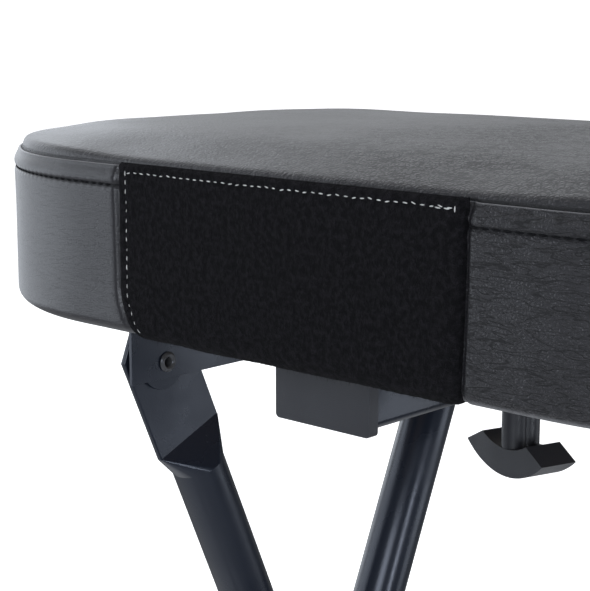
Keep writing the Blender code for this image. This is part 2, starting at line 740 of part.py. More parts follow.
def cope(obj, body, point, direction, tube):
    """Cut an end to the saddle of the tube that it is welded to."""
    length = 4 * tube
    cutter = cylinder_mesh(tube / 2 + GAP, length)
    boolean(obj, add_cutter(cutter, body, point, along(direction)))


def leg_end():
    """Leg length to just above its ground tube's axis, so the saddle keeps a blunt lip."""
    return LEG_LENGTH - LEG_TUBE / 6


def add_outer_leg(side_name, side):
    turn = Matrix.Rotation(LEG_ANGLE, 3, "X")
    pivot = Vector((side * OUTER_LEG_X, PIVOT_SETBACK, PIVOT_HEIGHT))
    leg = add_part(
        f"outer_leg_{side_name}", flat_leg_mesh(leg_end()), "painted_steel", "outer_frame", pivot, turn
    )
    down = turn @ -UP
    bore_start = FLAT_BELOW + CRIMP_LENGTH + LEG_TUBE / 4
    bore_length = LEG_LENGTH - bore_start
    bore_middle = pivot + down * (bore_start + bore_length / 2)
    drill(leg, "outer_frame", bore_middle, down, LEG_TUBE - 2 * LEG_WALL, bore_length)
    drill(leg, "outer_frame", pivot, ACROSS, RIVET_SHANK + 2 * GAP, 4 * FLAT_THICKNESS, SMALL_SIDES)
    crossing = (pivot.x, CROSS_SETBACK, CROSS_HEIGHT)
    drill(leg, "outer_frame", crossing, ACROSS, CROSS_BOLT + 2 * GAP, 2 * LEG_TUBE, SMALL_SIDES)
    cope(leg, "outer_frame", (pivot.x, REAR_GROUND_Y, GROUND_AXIS), ACROSS, LEG_TUBE)


def add_inner_leg(side_name, side):
    turn = Matrix.Rotation(-LEG_ANGLE, 3, "X")
    up = turn @ UP
    latch = Vector((side * INNER_LEG_X, LATCH_SETBACK, PIVOT_HEIGHT))
    foot = latch - up * leg_end()
    length = leg_end() + LEG_OVERRUN
    radius = LEG_TUBE / 2
    profile = ring_profile(radius, radius - LEG_WALL, 0, length)
    leg = add_turned(f"inner_leg_{side_name}", profile, "painted_steel", "inner_frame", foot, up)
    drill(leg, "inner_frame", latch, ACROSS, PIN_DIAMETER + 2 * GAP, 2 * LEG_TUBE, SMALL_SIDES)
    crossing = (latch.x, CROSS_SETBACK, CROSS_HEIGHT)
    drill(leg, "inner_frame", crossing, ACROSS, CROSS_BOLT + 2 * GAP, 2 * LEG_TUBE, SMALL_SIDES)
    cope(leg, "inner_frame", (latch.x, FRONT_GROUND_Y, GROUND_AXIS), ACROSS, LEG_TUBE)

    spigot = radius - LEG_WALL - GAP
    reach = LEG_OVERRUN - PIN_DIAMETER / 2 - 2 * GAP
    dome = LEG_WALL * 2
    plug = [
        (0, dome + GAP),
        (radius * 2 / 3, dome * 3 / 4 + GAP),
        (radius, GAP + LEG_WALL / 2),
        (radius, GAP),
        (spigot, GAP),
        (spigot, -reach),
        (0, -reach),
    ]
    leg_top = latch + up * LEG_OVERRUN
    add_turned(f"leg_plug_{side_name}", plug, "moulded_plastic", "inner_frame", leg_top, up)


def add_latch_pin(side_name, side):
    """Headed pin across the inner leg's top, whose free end carries the seat rail."""
    head_face = INNER_LEG_FACE - GAP
    tip = RAIL_X + RAIL_WALL + PIN_REACH
    radius = PIN_DIAMETER / 2
    length = tip - head_face
    profile = [
        (0, length),
        (radius * 2 / 3, length),
        (radius, length - radius / 3),
        (radius, 0),
        (PIN_HEAD / 2, 0),
        (PIN_HEAD / 2, -PIN_HEAD_HEIGHT / 2),
        (PIN_HEAD / 3, -PIN_HEAD_HEIGHT),
        (0, -PIN_HEAD_HEIGHT),
    ]
    spot = (side * head_face, LATCH_SETBACK, PIVOT_HEIGHT)
    add_turned(f"latch_pin_{side_name}", profile, "zinc", "inner_frame", spot, ACROSS * side, SMALL_SIDES)


def add_pivot(side_name, side):
    """Tubular rivet and nylon washer that hinge a seat rail on its outer leg."""
    shank = RIVET_SHANK / 2
    bore = RIVET_BORE / 2
    ring = RIVET_RING / 2
    head = RIVET_HEAD / 2
    grip = OUTER_LEG_X + FLAT_THICKNESS / 2 + GAP - (RAIL_X - GAP)
    profile = [
        (bore, grip + RIVET_LIP),
        (head * 2 / 3, grip + RIVET_LIP),
        (head, grip + RIVET_LIP / 2),
        (head, grip),
        (shank, grip),
        (shank, 0),
        (ring, 0),
        (ring, -RIVET_LIP / 3),
        (ring - RIVET_LIP / 2, -RIVET_LIP),
        (bore + RIVET_LIP / 3, -RIVET_LIP),
        (bore, -RIVET_LIP / 2),
    ]
    spot = (side * (RAIL_X - GAP), PIVOT_SETBACK, PIVOT_HEIGHT)
    add_turned(f"pivot_rivet_{side_name}", profile, "zinc", "outer_frame", spot, ACROSS * side, SMALL_SIDES)
    washer = ring_profile(FLAT_WIDTH / 3, shank + GAP, 0, PIVOT_WASHER)
    spot = (side * (RAIL_X + RAIL_WALL + GAP), PIVOT_SETBACK, PIVOT_HEIGHT)
    add_turned(f"pivot_washer_{side_name}", washer, "nylon", "outer_frame", spot, ACROSS * side)


def add_crossing(side_name, side):
    """Domed bolt, spacer washer and hexagon nut where the two legs of a side cross."""
    head_face = OUTER_LEG_X + LEG_TUBE / 2 + GAP
    nut_face = INNER_LEG_FACE - GAP
    shank = CROSS_BOLT / 2
    head = BOLT_HEAD / 2
    length = head_face - nut_face + NUT_HEIGHT + CROSS_BOLT / 4
    profile = dome(head, BOLT_HEAD_HEIGHT) + [(shank, 0), (shank, -length), (0, -length)]
    spot = (side * head_face, CROSS_SETBACK, CROSS_HEIGHT)
    outward = ACROSS * side
    add_turned(f"crossing_bolt_{side_name}", profile, "zinc", "outer_frame", spot, outward, SMALL_SIDES)
    washer = ring_profile(head, shank + GAP, 0, CROSS_WASHER)
    spot = (side * (INNER_LEG_X + LEG_TUBE / 2 + GAP), CROSS_SETBACK, CROSS_HEIGHT)
    add_turned(f"crossing_washer_{side_name}", washer, "nylon", "outer_frame", spot, outward, SMALL_SIDES)
    hexagon = arc((0, 0), NUT_ACROSS / math.sqrt(3), 0, 360, 6)[:-1]
    hole = arc((0, 0), shank + GAP, 0, 360, SMALL_SIDES)[:-1]
    middle = (side * (nut_face - NUT_HEIGHT / 2), CROSS_SETBACK, CROSS_HEIGHT)
    nut = slab_mesh([hexagon, hole], NUT_HEIGHT)
    add_part(f"crossing_nut_{side_name}", nut, "zinc", "outer_frame", middle, SIDEWAYS)


def add_ground_tube(end_name, body, y):
    """Ground tube across one pair of legs, with a flat-soled rubber foot on each end."""
    radius = LEG_TUBE / 2
    half = GROUND_LENGTH / 2
    profile = ring_profile(radius, radius - LEG_WALL, -half, half)
    add_turned(f"{end_name}_ground_tube", profile, "painted_steel", body, (0, y, GROUND_AXIS), ACROSS)
    bore = radius + GAP
    cup = [
        (0, FOOT_END),
        (FOOT_RADIUS - FOOT_CHAMFER, FOOT_END),
        (FOOT_RADIUS, FOOT_END - FOOT_CHAMFER),
        (FOOT_RADIUS, FOOT_CHAMFER - FOOT_SLEEVE),
        (FOOT_RADIUS - FOOT_CHAMFER, -FOOT_SLEEVE),
        (bore, -FOOT_SLEEVE),
        (bore, 0),
        (0, 0),
    ]
    for side_name, side in SIDES.items():
        spot = (side * (half + GAP), y, GROUND_AXIS)
        foot = add_turned(f"{end_name}_foot_{side_name}", cup, "rubber", body, spot, ACROSS * side)
        floor = box_mesh(4 * FOOT_SLEEVE, 4 * FOOT_RADIUS, FOOT_RADIUS)
        boolean(foot, add_cutter(floor, body, (spot[0], y, -FOOT_RADIUS / 2)))


def add_cross_bar(name, body, tube, wall, leg_x, point, leg_direction):
    """Bar between a pair of legs, its ends coped to their tubes."""
    profile = ring_profile(tube / 2, tube / 2 - wall, -leg_x, leg_x)
    bar = add_turned(name, profile, "painted_steel", body, point, ACROSS)
    for side in SIDES.values():
        cope(bar, body, (side * leg_x, *point[1:]), leg_direction, LEG_TUBE)


def add_bars():
    lean = math.tan(LEG_ANGLE)
    outer_direction = Vector((0, -lean, 1))
    inner_direction = Vector((0, lean, 1))
    brace_spot = (0, outer_leg_y(BRACE_HEIGHT), BRACE_HEIGHT)
    add_cross_bar(
        "rear_brace", "outer_frame", BRACE_TUBE, LEG_WALL, OUTER_LEG_X, brace_spot, outer_direction
    )
    rest_spot = (0, inner_leg_y(FOOTREST_HEIGHT), FOOTREST_HEIGHT)
    add_cross_bar(
        "footrest_bar", "inner_frame", FOOTREST_TUBE, LEG_WALL, INNER_LEG_X, rest_spot, inner_direction
    )
    add_cross_bar(
        "cradle_bar", "inner_frame", CRADLE_BAR, LEG_WALL, INNER_LEG_X, CRADLE_AXIS, inner_direction
    )

    half = INNER_LEG_FACE - GRIP_INSET
    crest = GRIP_DIAMETER / 2
    bore = FOOTREST_TUBE / 2 + GAP
    pitch = 2 * half / GRIP_RIBS
    profile = []
    for rib in range(GRIP_RIBS):
        top = half - rib * pitch
        profile += [
            (crest - GRIP_GROOVE, top),
            (crest, top - pitch / 4),
            (crest, top - pitch * 3 / 4),
        ]
    profile += [(crest - GRIP_GROOVE, -half), (bore, -half), (bore, half)]
    add_turned("footrest_grip", profile, "rubber", "inner_frame", rest_spot, ACROSS, SMALL_SIDES)


def arm_run(side, first, last):
    """Points of an arm's centre line between two distances from the cradle bar's axis."""
    bends = [ARM_STRAIGHT + (ARM_BEND_END - ARM_STRAIGHT) * i / BEND_STEPS for i in range(BEND_STEPS + 1)]
    stops = [first] + [d for d in bends if first + MERGE < d < last - MERGE] + [last]
    return [(side * ARM_X, *arm_point(distance)) for distance in stops]


def add_cradle():
    """Sleeve that swings on the cradle bar, with two padded arms and ball tips."""
    half = INNER_LEG_FACE - CRADLE_SIDE_PLAY
    sleeve_radius = CRADLE_SLEEVE / 2
    profile = ring_profile(sleeve_radius, CRADLE_BAR / 2 + GAP, -half, half)
    add_turned("cradle_sleeve", profile, "painted_steel", "cradle", CRADLE_AXIS, ACROSS)
    rod = ARM_ROD / 2
    foam_end = ARM_END - CAP_BALL / 2
    for side_name, side in SIDES.items():
        arm_mesh = swept_mesh(arm_run(side, 0, ARM_END), rod)
        arm = add_part(f"cradle_arm_{side_name}", arm_mesh, "painted_steel", "cradle", CRADLE_AXIS)
        cope(arm, "cradle", (side * ARM_X, *CRADLE_AXIS[1:]), ACROSS, CRADLE_SLEEVE)
        foam_mesh = swept_mesh(arm_run(side, FOAM_START, foam_end), FOAM_DIAMETER / 2)
        foam = add_part(f"arm_foam_{side_name}", foam_mesh, "foam", "cradle", CRADLE_AXIS)
        channel = swept_mesh(arm_run(side, FOAM_START - ARM_ROD, foam_end + ARM_ROD), rod + GAP)
        boolean(foam, add_cutter(channel, "cradle", CRADLE_AXIS))
        tip = CRADLE_AXIS + Vector((side * ARM_X, *arm_point(ARM_END)))
        heading = (0, math.cos(TIP_ANGLE), math.sin(TIP_ANGLE))
        ball = [
            (CAP_BALL / 2 * math.cos(math.radians(a)), CAP_BALL / 2 * math.sin(math.radians(a)))
            for a in range(90, -61, -15)
        ]
        ball[0] = (0, CAP_BALL / 2)
        bore = rod + GAP
        ball += [(bore, ball[-1][1]), (bore, GAP), (0, GAP)]
        add_turned(f"arm_tip_{side_name}", ball, "moulded_plastic", "cradle", tip, heading, SMALL_SIDES)


def build():
    add_bodies()
    add_cushion()
    add_felt_panel()
    add_board()
    add_beam()
    add_beam_ends()
    add_clamp()
    for side_name, side in SIDES.items():
        add_rail(side_name, side)
        add_rail_screws(side_name, side)
        add_outer_leg(side_name, side)
        add_inner_leg(side_name, side)
        add_latch_pin(side_name, side)
        add_pivot(side_name, side)
        add_crossing(side_name, side)
    add_ground_tube("rear", "outer_frame", REAR_GROUND_Y)
    add_ground_tube("front", "inner_frame", FRONT_GROUND_Y)
    add_bars()
    add_cradle()


build()
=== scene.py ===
"""Looks of a folding guitar stool: upholstery, stitching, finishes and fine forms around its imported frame.

Lengths are in metres. X runs to the right seen from the front, Y from the seat's front to its back, Z up.
"""

import json
import math
import random

import bmesh
import bpy
from mathutils import Matrix, Vector, noise
from mathutils.kdtree import KDTree

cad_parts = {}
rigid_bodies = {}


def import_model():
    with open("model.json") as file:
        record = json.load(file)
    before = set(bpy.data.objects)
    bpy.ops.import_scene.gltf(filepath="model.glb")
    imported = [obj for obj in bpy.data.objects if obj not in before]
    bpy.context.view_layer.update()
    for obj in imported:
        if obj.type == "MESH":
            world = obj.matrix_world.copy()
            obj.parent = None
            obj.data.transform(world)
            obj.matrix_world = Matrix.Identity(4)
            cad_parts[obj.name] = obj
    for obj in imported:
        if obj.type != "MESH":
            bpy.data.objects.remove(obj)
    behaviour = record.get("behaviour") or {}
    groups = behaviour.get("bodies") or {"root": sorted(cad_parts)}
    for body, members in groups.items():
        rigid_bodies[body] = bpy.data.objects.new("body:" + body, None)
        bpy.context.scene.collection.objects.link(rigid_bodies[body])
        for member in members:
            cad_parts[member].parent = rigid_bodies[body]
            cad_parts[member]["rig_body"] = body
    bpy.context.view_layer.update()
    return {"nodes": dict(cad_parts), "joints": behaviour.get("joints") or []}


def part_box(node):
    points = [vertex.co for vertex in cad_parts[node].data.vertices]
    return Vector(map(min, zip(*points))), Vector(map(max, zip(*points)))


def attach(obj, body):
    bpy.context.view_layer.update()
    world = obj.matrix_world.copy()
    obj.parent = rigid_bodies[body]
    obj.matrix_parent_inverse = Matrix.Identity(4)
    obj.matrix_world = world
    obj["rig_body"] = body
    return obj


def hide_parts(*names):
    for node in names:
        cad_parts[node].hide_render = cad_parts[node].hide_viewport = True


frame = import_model()
dice = random.Random(11)

MM = 0.001
CLEARANCE = 0.3 * MM
MERGE = 0.005 * MM
COPLANAR = math.radians(0.5)
SHARP = 35
ROUND = 56
SMALL_ROUND = 32
ACROSS = Vector((1, 0, 0))
UP = Vector((0, 0, 1))
SIDES = {"left": -1, "right": 1}

joints = {joint["name"]: Vector(joint["pos_m"]) for joint in frame["joints"]}


def middle(node):
    """Centre of a node's box."""
    low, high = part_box(node)
    return (low + high) / 2


# Places of the seat, read from the frame
SEAT_LOW, SEAT_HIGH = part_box("seat_cushion")
FELT_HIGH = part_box("felt_panel")[1]
BOARD_LOW, BOARD_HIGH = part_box("seat_board")
FRONT = SEAT_LOW.y
SEAT_HALF = SEAT_HIGH.x
SEAT_DEPTH = SEAT_HIGH.y - SEAT_LOW.y
SEAM = FELT_HIGH.z + CLEARANCE

# Places of the folding frame, read from the frame
PIVOT = joints["seat_flip"]
CROSSING = joints["leg_fold"]
LATCH = Vector((0, 2 * CROSSING.y - PIVOT.y, PIVOT.z))
CRADLE_AXIS = joints["cradle_fold"]
OUTER_LEG_X = middle("outer_leg_right").x
INNER_LEG_X = middle("inner_leg_right").x
OUTER_DOWN = (CROSSING - PIVOT).normalized()
INNER_UP = (LATCH - CROSSING).normalized()
REAR_GROUND = middle("rear_ground_tube")
FRONT_GROUND = middle("front_ground_tube")

# Upholstery; stops are in millimetres, or in shares of the band, and turns in degrees
FRONT_CORNER = 130 * MM
REAR_CORNER = 130 * MM
CORNER_STEPS = 32
COLUMN = 6.5 * MM
RIM_RADIUS = 6 * MM
RIM_LOW = SEAT_LOW.z - 1.2 * MM
RIM_STEPS = 8
POCKET = 20 * MM
POCKET_LIP = 1.5 * MM
POCKET_RISE = 0.5 * MM
WALL_STEPS = 13
WALL_WAIST = 0.5 * MM
WALL_UNEVEN = 0.5 * MM
WALL_WAVE = 45 * MM
TOPSTITCH_DROP = 9 * MM
TOPSTITCH_DIP = 1.7 * MM
TOPSTITCH_REACH = 0.65
TOPSTITCH_STOPS = (-1.6, -0.7, 0, 0.7, 1.6)
TOPSTITCH_CLEAR = 2.5 * MM
BAND_SWELL = 0.6 * MM
BAND_STOPS = (0.35, 0.5, 0.65, 0.8, 0.92, 1.0)
SEAM_PULL = 2.2 * MM
FOLD = 1.0 * MM
FOLD_TURNS = (30, 60, 90, 130)
LEDGE = 2.2 * MM
LEDGE_RISE = 0.7 * MM
TOP_STOPS = (2.4, 2.9, 3.8, 5.2, 7.2, 10, 14, 19, 26, 35, 45, 55, 64)
ROLL_START = 0.9 * MM
ROLL_HEIGHT = 2.2 * MM
ROLL_GAIN = 1.7 * MM
ROLL_EASE = 60 * MM
ROLL_WIDTH = 3.2 * MM
SHOULDER_HEIGHT = 3.5 * MM
SHOULDER_WIDTH = 30 * MM
VALLEY_DEPTH = 2.8 * MM
VALLEY_WIDTH = 1.5 * MM
VALLEY_STOPS = (-7, -4, -2.5, -1.5, -0.7, 0, 0.7, 1.5, 2.5, 4, 7)
FELT_BED = 0.9 * MM
CORE_INSET = SEAM_PULL + TOP_STOPS[-1] * MM
SWELL_FRAMES = 20
SWELL_PRESSURE = 4
SWELL_STIFFNESS = 40
SWELL_BENDING = 2
SWELL_REACH = 4.3 * MM
SWELL_EASE = 28 * MM
SWELL_EVEN = 30 * MM
TURN_UNDER = 31 * MM
RAGGED = 1.2 * MM
STAPLE_SIZE = (10 * MM, 1.1 * MM, 0.6 * MM)
STAPLE_LINE = 26 * MM
STAPLE_PITCH = 24 * MM
BEAM_BERTH = 34 * MM

# Vinyl skin; the sewing map gives the way round the seat and the height from the seam, or ON_TOP
ON_TOP = 1.0
SKIN_BLACK = (0.020, 0.019, 0.023)
# Painted shade: the colour that the vinyl's creases and pebble grooves go dark towards
PAINTED_CREASE_SHADE = (0.002, 0.002, 0.003)
# Pale grey of the painted highlights along the seam's fold and the lower rim
EDGE_HIGHLIGHT_GREY = (0.17, 0.17, 0.18)
TOP_CELL = 2.1 * MM
WALL_CELL = 1.7 * MM
TOP_SLACK = 0.42
WALL_SLACK = 0.15
TAUT_END = -120 * MM
SLACK_END = 70 * MM
WALL_FOLDS = ((21 * MM, 3.8 * MM, 0.85), (8 * MM, 2.2 * MM, 0.6))
# Half width of the painted shade along the topstitch groove
GROOVE_SHADE_HALF = 1.0 * MM
PUCKER_REACH = 3.5 * MM
VINYL_RELIEF = 0.26 * MM

# Felt facing and thread
FELT_PROUD = 1.3 * MM
FELT_THICKNESS = 1.2 * MM
FELT_TUCK = 4.2 * MM
TUCK_REACH = 1.1 * MM
FELT_RISE = 1.5 * MM
FELT_LIP = 0.4 * MM
FELT_MARGIN = 0.6 * MM
FELT_TOP_SEWN = 2.5 * MM
FELT_SPREAD = 2.6 * MM
FELT_LEAN = 2.4 * MM
FELT_SEWN = 3.9 * MM
SEWN_DEPTH = 0.55 * MM
SEWN_REACH = 1.3 * MM
FELT_WRAP = math.radians(118)
FELT_ROUNDING = 20 * MM
FELT_CURVE = 3.0 * MM
FELT_GRID = 1.5 * MM
FELT_WAVES = ((0.45 * MM, 26 * MM), (0.22 * MM, 5 * MM), (0.16 * MM, 2.2 * MM))
NAP_FIBRES = 3000
NAP_INSET = 1.5 * MM
FIBRE_WIDTH = 0.045 * MM
FIBRE_ROOT = 0.2 * MM
FIBRE_SHORT = 0.9 * MM
FIBRE_SPREAD = 1.5 * MM
FELT_STITCH = 2.9 * MM
FELT_PITCH = 4.2 * MM
BAND_STITCH = 4.7 * MM
BAND_PITCH = 5.0 * MM
FELT_THREAD = 0.27 * MM
BAND_THREAD = 0.55 * MM
BAND_STITCH_CLEAR = 2.5 * MM
BAND_STITCH_PROUD = 0.25 * MM
STITCH_JITTER = 0.12 * MM
STITCH_SETTLE = 0.08 * MM
SIDE_ROW_TOP = 0.8 * MM
BURIED = 0.55 * MM

# Tubes, heads and beads
LEG_RADIUS = 14.3 * MM
LEG_WALL = 1.5 * MM
HEAD_HALF_WIDTH = 22 * MM
HEAD_HALF_THICKNESS = 1.5 * MM
HEAD_BELOW = 47 * MM
HEAD_ABOVE = 23.5 * MM
HEAD_CHAMFER = 12 * MM
CRIMP_LENGTH = 17 * MM
ABOVE_LATCH = 22 * MM
WELD_RADIUS = LEG_RADIUS * 0.97
BEAD_RADIUS = 2.1 * MM
BOSS_STEPS = 40
DOME_STEPS = 8
KNOB_TURN = math.radians(-18)

# Camera at the photograph's viewing angle
CAMERA_SPOT = (434.1 * MM, FRONT - 454.65 * MM, SEAM + 70.5 * MM)
CAMERA_PITCH = math.radians(10.51)
CAMERA_YAW = math.radians(42.97)
CAMERA_SENSOR = 36
CAMERA_LENS = 96
SWEEP_RADIUS = 12
WARM = (1.0, 0.95, 0.89)
COOL = (0.86, 0.92, 1.0)
BRIGHT_SIDE = (-0.70, 0.48, 0.53)


# Working with operators


def fresh():
    """Leave edit mode and deselect everything."""
    if bpy.context.mode != "OBJECT":
        bpy.ops.object.mode_set(mode="OBJECT")
    bpy.ops.object.select_all(action="DESELECT")


def pick(piece):
    fresh()
    bpy.context.view_layer.objects.active = piece
    piece.select_set(True)


def edit(piece):
    """Open a piece in edit mode with all of it selected."""
    pick(piece)
    bpy.ops.object.mode_set(mode="EDIT")
    bpy.ops.mesh.select_all(action="SELECT")


def face_outwards(piece):
    edit(piece)
    bpy.ops.mesh.normals_make_consistent(inside=False)
    bpy.ops.object.mode_set(mode="OBJECT")


def settle(piece, place=None, sharp=SHARP):
    """Merge doubles, point faces outwards, put the place in the mesh, and smooth up to an angle."""
    edit(piece)
    bpy.ops.mesh.remove_doubles(threshold=MERGE)
    bpy.ops.mesh.normals_make_consistent(inside=False)
    bpy.ops.object.mode_set(mode="OBJECT")
    if place is not None:
        piece.data.transform(place)
    bpy.ops.object.shade_smooth_by_angle(angle=math.radians(sharp))
    return piece


def new_piece(name, points=(), edges=(), faces=()):
    mesh = bpy.data.meshes.new(name)
    mesh.from_pydata(points, edges, faces)
    piece = bpy.data.objects.new(name, mesh)
    bpy.context.scene.collection.objects.link(piece)
    return piece


def apply_modifier(piece, kind, **settings):
    modifier = piece.modifiers.new(kind.lower(), kind)
    for key, value in settings.items():
        setattr(modifier, key, value)
    pick(piece)
    bpy.ops.object.modifier_apply(modifier=modifier.name)


def combine(piece, tool, operation):
    """Cut a tool from a piece, or join it on, and remove the tool."""
    apply_modifier(piece, "BOOLEAN", object=tool, operation=operation)
    bpy.data.objects.remove(tool)


def soften_edges(piece, width, segments=2, angle=40):
    apply_modifier(
        piece, "BEVEL", width=width, segments=segments, limit_method="ANGLE", angle_limit=math.radians(angle)
    )


def trim(piece, look, node):
    """Give a piece beside a node its finish, and put it on that node's body."""
    piece.data.materials.clear()
    piece.data.materials.append(look)
    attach(piece, frame["nodes"][node]["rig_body"])
    return piece


def dress(piece, look, node):
    """Give a piece its finish, and let it stand for a node on that node's body."""
    trim(piece, look, node)
    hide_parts(node)
    return piece


def at_x(x, spot):
    """The point level with a spot at another place across the stool."""
    return Vector((x, spot.y, spot.z))


def standing(spot, direction):
    """The place of a piece whose own +Z runs along a direction from a spot."""
    return Matrix.Translation(spot) @ UP.rotation_difference(Vector(direction)).to_matrix().to_4x4()


def softened(points, radius, closed=False, steps=3):
    """A profile with its corners rounded, as moulded and rolled edges are."""
    rounded = []
    for i, corner in enumerate(points):
        if not closed and i in (0, len(points) - 1):
            rounded.append(tuple(corner))
            continue
        here = Vector(corner)
        back = Vector(points[i - 1]) - here
        ahead = Vector(points[(i + 1) % len(points)]) - here
        first = here + back.normalized() * min(radius, back.length * 0.45)
        last = here + ahead.normalized() * min(radius, ahead.length * 0.45)
        for k in range(steps + 1):
            t = k / steps
            rounded.append(tuple(first * (1 - t) ** 2 + here * (2 * t * (1 - t)) + last * t**2))
    return rounded


def turned(name, profile, spot, direction, sides=ROUND, closed=False, sharp=SHARP):
    """A turned piece: (radius, height) points, spun about a direction."""
    count = len(profile)
    edges = [(i, (i + 1) % count) for i in range(count if closed else count - 1)]
    piece = new_piece(name, [(radius, 0, height) for radius, height in profile], edges)
    edit(piece)
    bpy.ops.mesh.spin(steps=sides, angle=2 * math.pi, center=(0, 0, 0), axis=(0, 0, 1))
    return settle(piece, standing(spot, direction), sharp)


def tube(name, start, end, radius, wall=LEG_WALL, edge=0.5 * MM, sides=ROUND):
    """A round tube with broken edges."""
    run = Vector(end) - Vector(start)
    ring = [(radius, 0), (radius, run.length), (radius - wall, run.length), (radius - wall, 0)]
    return turned(name, softened(ring, edge, closed=True, steps=2), start, run, sides, closed=True)


def swept(name, points, radius, swell=None, closed=False, resolution=6):
    """A round rod along a line of points, its radius varied by an optional list of factors."""
    curve = bpy.data.curves.new(name, "CURVE")
    curve.dimensions = "3D"
    curve.bevel_depth = radius
    curve.bevel_resolution = resolution
    curve.use_fill_caps = True
    spline = curve.splines.new("POLY")
    spline.points.add(len(points) - 1)
    for i, point in enumerate(points):
        spline.points[i].co = (*point, 1)
        spline.points[i].radius = swell[i] if swell else 1
    spline.use_cyclic_u = closed
    piece = bpy.data.objects.new(name, curve)
    bpy.context.scene.collection.objects.link(piece)
    pick(piece)
    bpy.ops.object.convert(target="MESH")
    return settle(bpy.context.object)


def flatten(piece, sharp):
    """Smooth up to an angle, with wide flat faces kept flat."""
    pick(piece)
    bpy.ops.object.shade_smooth_by_angle(angle=math.radians(sharp))
    apply_modifier(piece, "WEIGHTED_NORMAL", keep_sharp=True, weight=100)


def refine(node, bevel, look):
    """Let a copy of a node stand for it, merged into whole faces, with its edges broken and a finish."""
    piece = bpy.data.objects.new(node + "_form", frame["nodes"][node].data.copy())
    bpy.context.scene.collection.objects.link(piece)
    edit(piece)
    bpy.ops.mesh.customdata_custom_splitnormals_clear()
    bpy.ops.mesh.remove_doubles(threshold=MERGE)
    bpy.ops.mesh.dissolve_limited(angle_limit=COPLANAR)
    bpy.ops.object.mode_set(mode="OBJECT")
    if bevel:
        soften_edges(piece, bevel)
    flatten(piece, SHARP)
    dress(piece, look, node)


# Shader nodes


def add(tree, kind, inputs=None, **settings):
    """A shader node, whose inputs are values or other nodes' outputs."""
    made = tree.nodes.new("ShaderNode" + kind)
    for key, value in settings.items():
        setattr(made, key, value)
    for key, value in (inputs or {}).items():
        if isinstance(value, bpy.types.NodeSocket):
            tree.links.new(value, made.inputs[key])
        else:
            made.inputs[key].default_value = value
    return made


def math_node(tree, operation, first, second=0.0):
    return add(tree, "Math", {0: first, 1: second}, operation=operation).outputs[0]


def times(tree, first, second):
    return math_node(tree, "MULTIPLY", first, second)


def plus(tree, first, second):
    return math_node(tree, "ADD", first, second)


def minus(tree, first, second):
    return math_node(tree, "SUBTRACT", first, second)


def remap(tree, value, low, high, to_low=0.0, to_high=1.0):
    inputs = {"Value": value, "From Min": low, "From Max": high, "To Min": to_low, "To Max": to_high}
    return add(tree, "MapRange", inputs, interpolation_type="SMOOTHSTEP").outputs["Result"]


def two_tone(tree, mask, first, second):
    inputs = {0: mask, 6: (*first, 1), 7: (*second, 1)}
    return add(tree, "Mix", inputs, data_type="RGBA").outputs[2]


def new_group(name, inputs, outputs):
    """A shader node group with named sockets; returns it with its inner ends."""
    group = bpy.data.node_groups.new(name, "ShaderNodeTree")
    for label, kind in inputs.items():
        group.interface.new_socket(label, in_out="INPUT", socket_type="NodeSocket" + kind)
    for label in outputs:
        group.interface.new_socket(label, in_out="OUTPUT", socket_type="NodeSocketFloat")
    return group, group.nodes.new("NodeGroupInput").outputs, group.nodes.new("NodeGroupOutput").inputs


def vinyl_grain_group():
    """Pebbled cells and longer creases of embossed vinyl; Flatten draws them out sideways on a wall."""
    group, given, made = new_group(
        "vinyl_grain", {"Vector": "Vector", "Cell": "Float", "Flatten": "Float"}, ("Height", "Crease")
    )
    stretch = add(group, "CombineXYZ", {"X": 1.0, "Y": 1.0, "Z": given["Flatten"]}).outputs[0]
    flat = add(group, "VectorMath", {0: given["Vector"], 1: stretch}, operation="MULTIPLY").outputs[0]
    per_cell = math_node(group, "DIVIDE", 1.0, given["Cell"])
    cells = add(group, "VectorMath", {0: flat, "Scale": per_cell}, operation="SCALE").outputs[0]
    wander = add(group, "TexNoise", {"Vector": cells, "Scale": 0.5, "Detail": 3.0}).outputs["Color"]
    drift = add(group, "VectorMath", {0: wander, "Scale": 1.3}, operation="SCALE").outputs[0]
    spot = add(group, "VectorMath", {0: cells, 1: drift}, operation="ADD").outputs[0]
    edge = add(group, "TexVoronoi", {"Vector": spot, "Scale": 1.0}, feature="DISTANCE_TO_EDGE")
    pebble = remap(group, edge.outputs["Distance"], 0.0, 0.42)
    fine = add(group, "TexNoise", {"Vector": cells, "Scale": 3.0, "Detail": 2.0}).outputs[0]
    long_noise = add(group, "TexNoise", {"Vector": spot, "Scale": 0.22, "Detail": 4.0}).outputs[0]
    fold = math_node(group, "ABSOLUTE", minus(group, long_noise, 0.5))
    crease = remap(group, fold, 0.0, 0.06)
    body = times(group, pebble, 0.6)
    body = plus(group, body, times(group, fine, 0.06))
    height = plus(group, body, times(group, crease, 0.4))
    group.links.new(height, made["Height"])
    # Crease is low in pebble grooves and along long creases; the vinyl paints shade into its colour there
    group.links.new(times(group, pebble, crease), made["Crease"])
    return group


def fine_relief_group():
    """Fine bumps of a sprayed or moulded skin, and a slow mottle over it."""
    group, given, made = new_group(
        "fine_relief", {"Vector": "Vector", "Grain": "Float", "Patch": "Float"}, ("Height", "Mottle")
    )
    grain = math_node(group, "DIVIDE", 1.0, given["Grain"])
    patch = math_node(group, "DIVIDE", 1.0, given["Patch"])
    bumps = add(group, "TexNoise", {"Vector": given["Vector"], "Scale": grain, "Detail": 2.0}).outputs[0]
    slow = add(group, "TexNoise", {"Vector": given["Vector"], "Scale": patch, "Detail": 5.0}).outputs[0]
    group.links.new(remap(group, bumps, 0.3, 0.7), made["Height"])
    group.links.new(remap(group, slow, 0.35, 0.68), made["Mottle"])
    return group


